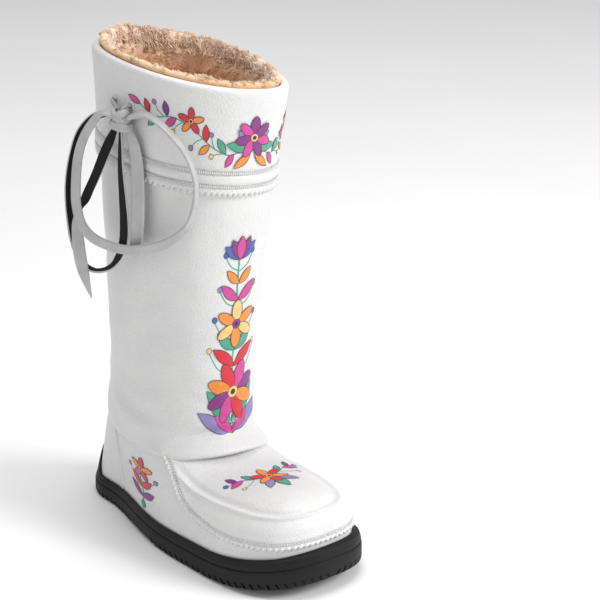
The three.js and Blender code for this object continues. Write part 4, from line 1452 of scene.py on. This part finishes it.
def onVamp(x, y, lift):
    # x towards the medial side, y forwards over the apron, from a point on its middle line
    across, middleX = x + prints["vampX"], centreX - 2.3
    t = turnAt(clamp(0.5 + (prints["vampY"] + y) / sole["length"], 0, 1))
    t = t if across < centreX + 0.2 else 1 - t
    return searchPoint(lambda v: footPoint(t, v, gap + vamp["skin"] + inkLift + lift, True), 0.3, 1.0, 22,
                       lambda point: abs(point[0] - middleX) > abs(across - centreX - middleX))


def onQuarter(side):
    def lay(x, y, lift):
        t = turnAt(prints["quarterAt"] + prints["quarterLong"] * x / sole["length"])
        t = 1 - t if side < 0 else t
        return searchPoint(lambda v: footPoint(t, v, inkLift + lift + prints["quarterLift"]), 0.0, 0.9, 20,
                           lambda point: point[2] < prints["quarterZ"] + prints["quarterTall"] * y)
    return lay


def garland():
    drawn = Print(onCuff)
    for side in (-1, 1):
        drawn.stem([(side * x, y) for x, y in ((6, 17), (20, 11), (36, 16), (52, 27), (68, 33), (84, 30), (98, 37))])
        for x, y, dx, dy in ((26, 12, 10, -3), (44, 21, 9, -8), (60, 31, 8, -9), (76, 32, 8, 9), (33, 14, 4, 11)):
            drawn.stem([(side * x, y), (side * (x + dx * 0.6), y + dy * 0.4), (side * (x + dx), y + dy)], width=0.7)
            drawn.berry(side * (x + dx), y + dy, 1.7, "yellow" if x in (26, 60) else "lavender")
        for x, y, angle, length, width, tint in (
                (17, 12, -1.0, 12, 4.8, "magenta"), (24, 12, 0.95, 13, 5.2, "teal"), (38, 17, -0.75, 11, 4.4, "orange"),
                (41, 19, 1.5, 13, 5, "red"), (66, 33, -0.8, 12, 4.8, "magenta"), (73, 33, 1.35, 11, 4.4, "purple"),
                (82, 30, -0.9, 11, 4.4, "teal"), (88, 32, 1.2, 10, 4.2, "red"), (96, 36, 0.35, 11, 4.4, "magenta")):
            drawn.leaf(side * x, y, angle if side > 0 else math.pi - angle, length, width, tint)
        drawn.flower(side * 54, 33, 5, 10.5, ["red", "orange"], "yellow", 0.3 if side > 0 else math.pi - 0.3)
    drawn.pair(16, 0.12, 24, 7.5, "teal")
    drawn.pair(18, 0.7, 19, 6.5, "lavender")
    drawn.pair(13, -0.85, 18, 5.8, "orange", 0.15, 2)
    drawn.flower(0, 25, 7, 16.5, ["purple", "magenta"], "yellow", math.pi / 2)
    drawn.finish("cuffFlowers")


def column():
    drawn = Print(onLeg)
    drawn.stem([(0, 90), (1.5, 120), (-1.5, 150), (1, 180), (-1, 212), (0, 248)], width=1.3)
    for low, across, high, tint in ((140, 25, 160, "yellow"), (168, 21, 186, "blue"), (196, 17, 211, "lavender"),
                                    (226, 13, 239, "blue")):
        for side in (-1, 1):
            drawn.stem([(0, low), (side * across * 0.6, low + 5), (side * across, high)], width=0.9)
            drawn.berry(side * across, high + 2, 2.3, tint)
    drawn.pair(91, 0.28, 39, 12, "lavender", 0.22)
    drawn.pair(97, 0.75, 40, 12.5, "teal", 0.12)
    drawn.pair(89, 0.85, 24, 8.5, "magenta", -0.1)
    drawn.pair(146, 0.78, 27, 9, "red", -0.12)
    drawn.pair(160, 0.62, 24, 8, "teal", 0.14)
    drawn.pair(202, 0.62, 21, 7.6, "magenta", 0.12)
    drawn.pair(216, 0.72, 16, 6.2, "orange", 0.1)
    drawn.flower(0, 124, 8, 27, ["purple", "magenta", "red", "orange"], "yellow", math.pi / 8)
    drawn.flower(0, 182, 6, 20, ["orange", "yellow"], "purple", math.pi / 6)
    for angle, tint in ((0.7, "blue"), (2.44, "blue"), (1.12, "purple"), (2.02, "purple"),
                        (math.pi / 2, "magenta")):
        drawn.leaf(0, 236, angle, 19, 7, tint)
    drawn.finish("legFlowers")


def apronSpray():
    drawn = Print(onVamp)
    for side in (-1, 1):
        drawn.stem([(0, 0), (side * 12, -3), (side * 23, -9), (side * 33, -10)])
        drawn.stem([(side * 12, -3), (side * 20, 2), (side * 26, 3)], width=0.7)
        drawn.berry(side * 27, 3.5, 1.7, "yellow")
        drawn.berry(side * 34, -11, 1.9, "blue")
    drawn.pair(-4, -1.1, 11, 4.8, "teal", x=12)
    drawn.pair(-8, 0.2, 13, 5.4, "magenta", x=20)
    drawn.pair(-9, -1.2, 10, 4.4, "purple", x=25)
    drawn.pair(4, 0.95, 19, 7, "lavender", x=3)
    drawn.leaf(0, 5, math.pi / 2, 21, 7.5, "teal")
    drawn.flower(0, 0, 6, 15, ["red", "orange"], "yellow", math.pi / 2)
    drawn.finish("vampFlowers")


def quarterSprig(side, name):
    drawn = Print(onQuarter(side))
    drawn.stem([(0, -19), (1, -6), (-1, 4), (0, 14)], width=1.0)
    for way in (-1, 1):
        drawn.stem([(0, 2), (way * 8, 3), (way * 13, 8)], width=0.7)
        drawn.berry(way * 13.5, 9.5, 1.6, "lavender")
    drawn.pair(-14, 0.55, 15, 5.6, "purple", 0.1)
    drawn.pair(-4, 0.7, 14, 5.2, "red", 0.1)
    drawn.leaf(0, -18, -1.57, 8, 3.8, "teal")
    drawn.flower(0, 14, 5, 10.5, ["red", "orange", "magenta"], "yellow", math.pi / 2)
    drawn.finish(name)


garland()
column()
apronSpray()
quarterSprig(1, "quarterFlowersLateral")
quarterSprig(-1, "quarterFlowersMedial")
print("flowers made")


# pale floor and soft light: name, place, size, watts, aim; metres
lamps = [("keyLight", (1.15, -1.75, 1.5), 1.0, 42, (0, 0, 0.2)), ("fillLight", (-2.2, -0.8, 1.2), 1.8, 7, (0, 0, 0.2)),
         ("topLight", (0.1, 0.1, 2.4), 1.3, 27, (0, 0, 0.1))]
room = {"floor": 14, "below": -0.0002, "sky": 0.46}


def studio():
    bpy.ops.object.select_all(action="DESELECT")
    bpy.ops.mesh.primitive_plane_add(size=room["floor"], location=(0, 0, room["below"]))
    floor = bpy.context.object
    floor.name = "paleFloor"
    paper = Finish("palePaper", (0.9, 0.9, 0.9), 0.9)
    paper.set("Base Color", paper.ramp(paper.cloud(3.0), (0.3, (0.89, 0.89, 0.89)), (0.7, (0.91, 0.91, 0.91))))
    floor.data.materials.append(paper.material)
    floor.select_set(False)
    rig.stage(floor)
    for name, spot, size, power, aim in lamps:
        data = bpy.data.lights.new(name, "AREA")
        data.size = size
        data.energy = power
        lamp = bpy.data.objects.new(name, data)
        lamp.location = spot
        lamp.rotation_euler = (Vector(spot) - Vector(aim)).to_track_quat("Z", "Y").to_euler()
        bpy.context.scene.collection.objects.link(lamp)
    world = bpy.data.worlds.new("softSky")
    world.use_nodes = True
    sky = world.node_tree.nodes["Background"]
    sky.inputs["Color"].default_value = (1, 1, 1, 1)
    sky.inputs["Strength"].default_value = room["sky"]
    bpy.context.scene.world = world
    bpy.context.scene.view_settings.view_transform = "Standard"


studio()
json.dump({"cad": cadBox, "visual": [list(corner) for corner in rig.bounds()]}, open("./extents.json", "w"))
print("all pieces made")
